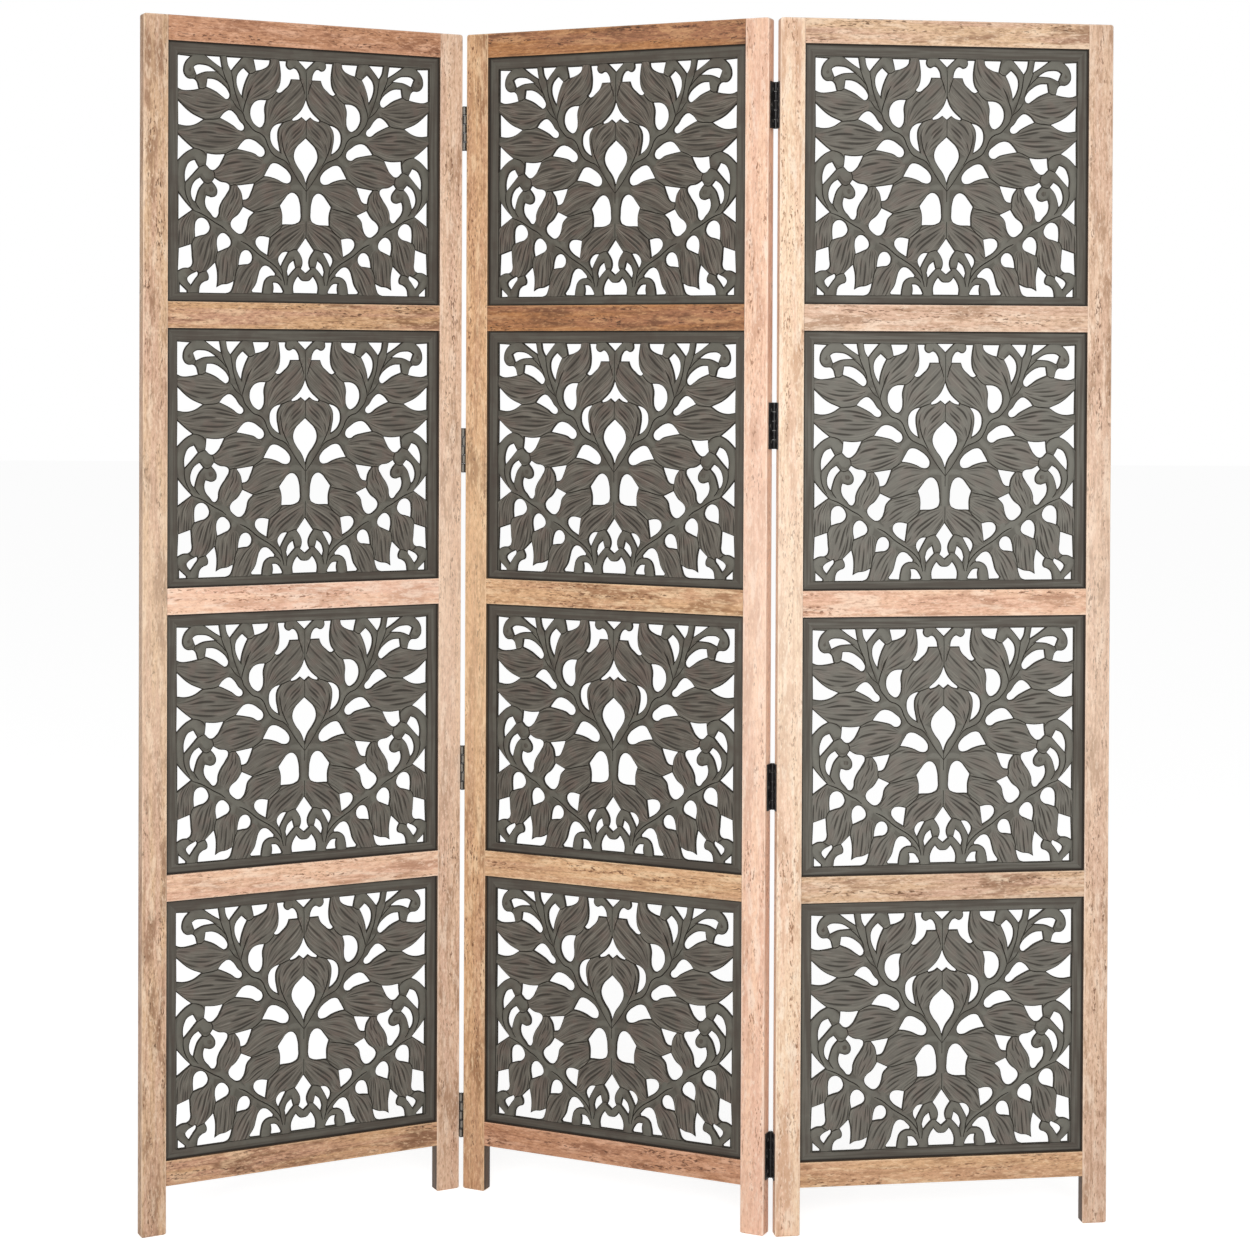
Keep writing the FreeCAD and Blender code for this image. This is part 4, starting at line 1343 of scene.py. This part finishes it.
def hinge_flap(settings, proud, first_knuckle, finish):
    """One half of a hinge: a flap with countersunk holes and its rolled knuckles.

    The mesh notes how worn the crowns of the knuckles are and where a highlight is painted on them.
    """
    outer = settings.knuckle_radius
    inner = outer - settings.flap_thickness
    reach = proud + LEAF_THICKNESS - settings.flap_margin
    notch = settings.knuckle_radius + 0.5 * MM
    half = settings.height / 2
    pitch = settings.height / settings.knuckle_count
    play = settings.knuckle_play
    base = block("flap", (inner, notch, -half), (outer, reach, half), finish)
    tools = []
    for index in range(first_knuckle, settings.knuckle_count, 2):
        low = -half + index * pitch + (play if index else 0)
        high = -half + (index + 1) * pitch - (play if index < settings.knuckle_count - 1 else 0)
        tools.append(("UNION", block("tab", (inner, 0, low), (outer, notch + MM, high), finish)))
        tools.append(("UNION", shape_object("knuckle", knuckle_tube(settings, low, high), finish)))
    for depth, height in screw_places(settings, proud):
        bm = bmesh.new()
        bmesh.ops.create_cone(
            bm, cap_ends=True, segments=28, radius1=settings.screw_radius * 0.35,
            radius2=settings.screw_radius * 1.25, depth=settings.flap_thickness * 1.3,
            matrix=Matrix.Translation(((inner + outer) / 2, depth, height))
            @ Matrix.Rotation(-math.pi / 2, 4, "Y"))
        tools.append(("DIFFERENCE", shape_object("countersink", bm, finish)))
    mesh = carve(base, tools)
    # Wear and a painted highlight on the side of each knuckle away from the stile, none within 1.2 mm of a
    # knuckle's ends
    worn_and_highlit = mesh.attributes.new("worn_and_highlit", "FLOAT", "POINT")
    for vert, value in zip(mesh.vertices, worn_and_highlit.data):
        from_joint = abs((vert.co.z + half) % pitch - pitch / 2)
        inside_rims = from_joint < pitch / 2 - 1.2 * MM
        value.value = max(0, -vert.co.y / outer) if inside_rims else 0
    return mesh


def screw_head(settings, finish):
    """A countersunk screw head with a cross recess, facing down the x axis."""
    bm = bmesh.new()
    depth = settings.flap_thickness * 0.9
    bmesh.ops.create_cone(bm, cap_ends=True, segments=28, radius1=settings.screw_radius * 0.5,
                          radius2=settings.screw_radius, depth=depth)
    rim = [edge for edge in bm.edges if all(vert.co.z > 0 for vert in edge.verts)]
    round_edges(bm, rim, 0.2 * MM, 2)
    base = shape_object("head", bm, finish)
    long, short = settings.screw_radius * 0.6, settings.screw_radius * 0.13
    tools = [
        ("DIFFERENCE", block("recess", (-a, -b, 0.1 * MM), (a, b, depth), finish))
        for a, b in ((long, short), (short, long))
    ]
    mesh = carve(base, tools)
    mesh.transform(Matrix.Rotation(-math.pi / 2, 4, "Y"))
    return mesh


def pin_mesh(settings):
    """A hinge pin with slightly domed ends."""
    half, radius = settings.height / 2, settings.pin_radius
    profile = [(0, -half), (radius * 0.7, -half), (radius, -half + 0.5 * MM),
               (radius, half - 0.5 * MM), (radius * 0.7, half), (0, half)]
    bm = turned(profile, 24, is_ring=False)
    bmesh.ops.remove_doubles(bm, verts=bm.verts[:], dist=MERGE_DISTANCE)
    return new_mesh("pin", bm)


def gather(name, copies, finish):
    """One mesh from (mesh, matrix) pairs."""
    bm = bmesh.new()
    for mesh, place in copies:
        start = len(bm.verts)
        bm.from_mesh(mesh)
        bm.verts.ensure_lookup_table()
        bmesh.ops.transform(bm, matrix=place, verts=bm.verts[start:])
    bmesh.ops.recalc_face_normals(bm, faces=bm.faces[:])
    mark_sharp_edges(bm, HINGE_CREASE)
    gathered = new_mesh(name, bm)
    gathered.materials.append(finish)
    return gathered


class JALI_OT_hinges(bpy.types.Operator):
    """Make the eight butt hinges with their pins and screws."""
    bl_idname = "jali.hinges"
    bl_label = "Hinges"

    def execute(self, context):
        settings = context.scene.jali_hinges
        paint, steel = black_lacquer(settings), bare_steel(settings)
        axes = {joint["name"]: Vector(joint["pos_m"]) for joint in frame["joints"]}
        across, inward = leaf_directions("centre_leaf")
        left_corner = leaf_place("centre_leaf").translation
        proud = -(axes["left_fold"] - left_corner).dot(inward)
        flaps = [hinge_flap(settings, proud, first, paint) for first in (0, 1)]
        head, pin = screw_head(settings, steel), pin_mesh(settings)
        flat = settings.knuckle_radius - settings.flap_thickness * 0.55
        for side, sign in (("left", 1), ("right", -1)):
            axis, heights = axes[side + "_fold"], hinge_heights(side)
            outer_across, outer_inward = leaf_directions(side + "_leaf")
            halves = (
                ("centre", "centre_leaf", flaps[0], across * sign, inward * sign),
                ("outer", side + "_leaf", flaps[1], outer_across * -sign, outer_inward * sign),
            )
            for half, body, flap, out, depth in halves:
                turn = Matrix((out, depth, Vector((0, 0, 1)))).transposed().to_4x4()
                places = [Matrix.Translation((axis.x, axis.y, z)) @ turn for z in heights]
                heads = [(head, place @ Matrix.Translation((flat, deep, up)))
                         for place in places for deep, up in screw_places(settings, proud)]
                name = f"{side}_joint_{half}"
                make_piece(name + "_flaps", gather(name, [(flap, p) for p in places], paint), body,
                           [f"{side}_hinge_{half}_plates"])
                make_piece(name + "_screws", gather(name, heads, steel), body)
                if half == "centre":
                    pins = gather("pins", [(pin, p) for p in places], steel)
                    make_piece(f"{side}_joint_pins", pins, body,
                               [f"{side}_hinge_pins"])
        return {"FINISHED"}


class JALI_OT_stage(bpy.types.Operator):
    """Lay the floor, light the screen and set up the camera."""
    bl_idname = "jali.stage"
    bl_label = "Stage"

    def execute(self, context):
        settings = context.scene.jali_stage
        context.scene.view_settings.view_transform = "Standard"
        make_floor(settings)
        make_sky(settings)
        make_key_lamp(settings)
        make_camera()
        return {"FINISHED"}


def seen_directly(tree):
    """1 for what the camera sees directly, in gloss or through glass, and else 0."""
    path = add_node(tree, "ShaderNodeLightPath").outputs
    seen = calculate(tree, "MAXIMUM", path["Is Camera Ray"], path["Is Glossy Ray"])
    return calculate(tree, "MAXIMUM", seen, path["Is Transmission Ray"])


def make_floor(settings):
    """A wide pale floor that looks white and keeps a faint shadow."""
    bm = bmesh.new()
    bmesh.ops.create_grid(bm, x_segments=1, y_segments=1, size=FLOOR_REACH)
    mesh = new_mesh("floor", bm)
    material, tree = new_material("matt_white_floor")
    matt = add_node(tree, "ShaderNodeBsdfDiffuse", {"Color": linear(settings.floor_colour)})
    glow = add_node(tree, "ShaderNodeEmission", {
        "Strength": calculate(tree, "MULTIPLY", seen_directly(tree), settings.floor_glow)})
    finish_material(tree, add_node(tree, "ShaderNodeAddShader", {
        0: matt.outputs[0], 1: glow.outputs[0]}))
    mesh.materials.append(material)
    floor = new_object("floor", mesh)


def make_sky(settings):
    """White behind the screen, and a weak even light on it."""
    world = bpy.data.worlds.new("studio")
    bpy.context.scene.world = world
    world.use_nodes = True
    tree = world.node_tree
    tree.nodes.clear()
    white = add_node(tree, "ShaderNodeBackground", {"Color": (1, 1, 1, 1), "Strength": 1.0})
    dim = add_node(tree, "ShaderNodeBackground", {
        "Color": (1, 1, 1, 1), "Strength": settings.sky_strength})
    mix = add_node(tree, "ShaderNodeMixShader", {
        0: seen_directly(tree), 1: dim.outputs[0], 2: white.outputs[0]})
    add_node(tree, "ShaderNodeOutputWorld", {"Surface": mix.outputs[0]})


def make_key_lamp(settings):
    """One large soft lamp above and behind the camera."""
    light = bpy.data.lights.new("key_lamp", "AREA")
    light.shape = "RECTANGLE"
    light.size, light.size_y = KEY_LAMP_SIZE
    light.energy = settings.key_power
    lamp = new_object("key_lamp", light)
    lamp.location = KEY_LAMP_PLACE
    aim = Vector(KEY_LAMP_TARGET) - lamp.location
    lamp.rotation_euler = aim.to_track_quat("-Z", "Y").to_euler()


def make_camera():
    """A camera where the photograph was taken, its view mostly shifted down and hardly tilted."""
    camera_data = bpy.data.cameras.new("camera")
    camera_data.sensor_width = SENSOR_WIDTH_MM
    camera_data.lens = FOCAL_LENGTH / PHOTO_SIZE * SENSOR_WIDTH_MM
    camera_data.shift_x = 0.5 - VIEW_CENTRE[0] / PHOTO_SIZE
    camera_data.shift_y = VIEW_CENTRE[1] / PHOTO_SIZE - 0.5
    camera = new_object("camera", camera_data)
    pitch, roll = math.radians(90 - CAMERA_TILT_DOWN), math.radians(CAMERA_ROLL)
    turn = Matrix.Rotation(pitch, 4, "X") @ Matrix.Rotation(roll, 4, "Z")
    camera.matrix_world = Matrix.Translation(CAMERA_PLACE) @ turn
    bpy.context.scene.camera = camera


class JALI_PT_panel(bpy.types.Panel):
    """Buttons for the pieces of the screen."""
    bl_label = "Folding Jali Screen"
    bl_idname = "JALI_PT_panel"
    bl_space_type = "VIEW_3D"
    bl_region_type = "UI"
    bl_category = "Jali Screen"

    def draw(self, context):
        for operator, settings in STEPS.items():
            box = self.layout.box()
            box.operator(operator)
            group = getattr(context.scene, settings)
            for name in group.bl_rna.properties.keys():
                if name not in ("rna_type", "name"):
                    box.prop(group, name)


STEPS = {
    "jali.timber": "jali_timber",
    "jali.carved_boards": "jali_carving",
    "jali.hinges": "jali_hinges",
    "jali.stage": "jali_stage",
}
SETTINGS = {
    "jali_timber": TimberSettings,
    "jali_carving": CarvingSettings,
    "jali_hinges": HingeSettings,
    "jali_stage": StageSettings,
}
CLASSES = (*SETTINGS.values(), JALI_OT_timber, JALI_OT_carved_boards, JALI_OT_hinges,
           JALI_OT_stage, JALI_PT_panel)


def register():
    """Register the classes and hang the settings on the scene."""
    for cls in CLASSES:
        bpy.utils.register_class(cls)
    for name, group in SETTINGS.items():
        setattr(bpy.types.Scene, name, bpy.props.PointerProperty(type=group))


def unregister():
    """Undo register."""
    for name in SETTINGS:
        delattr(bpy.types.Scene, name)
    for cls in reversed(CLASSES):
        bpy.utils.unregister_class(cls)


def main():
    """Make everything in order."""
    register()
    bpy.ops.jali.timber()
    bpy.ops.jali.carved_boards()
    bpy.ops.jali.hinges()
    bpy.ops.jali.stage()
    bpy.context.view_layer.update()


if __name__ == "__main__":
    main()
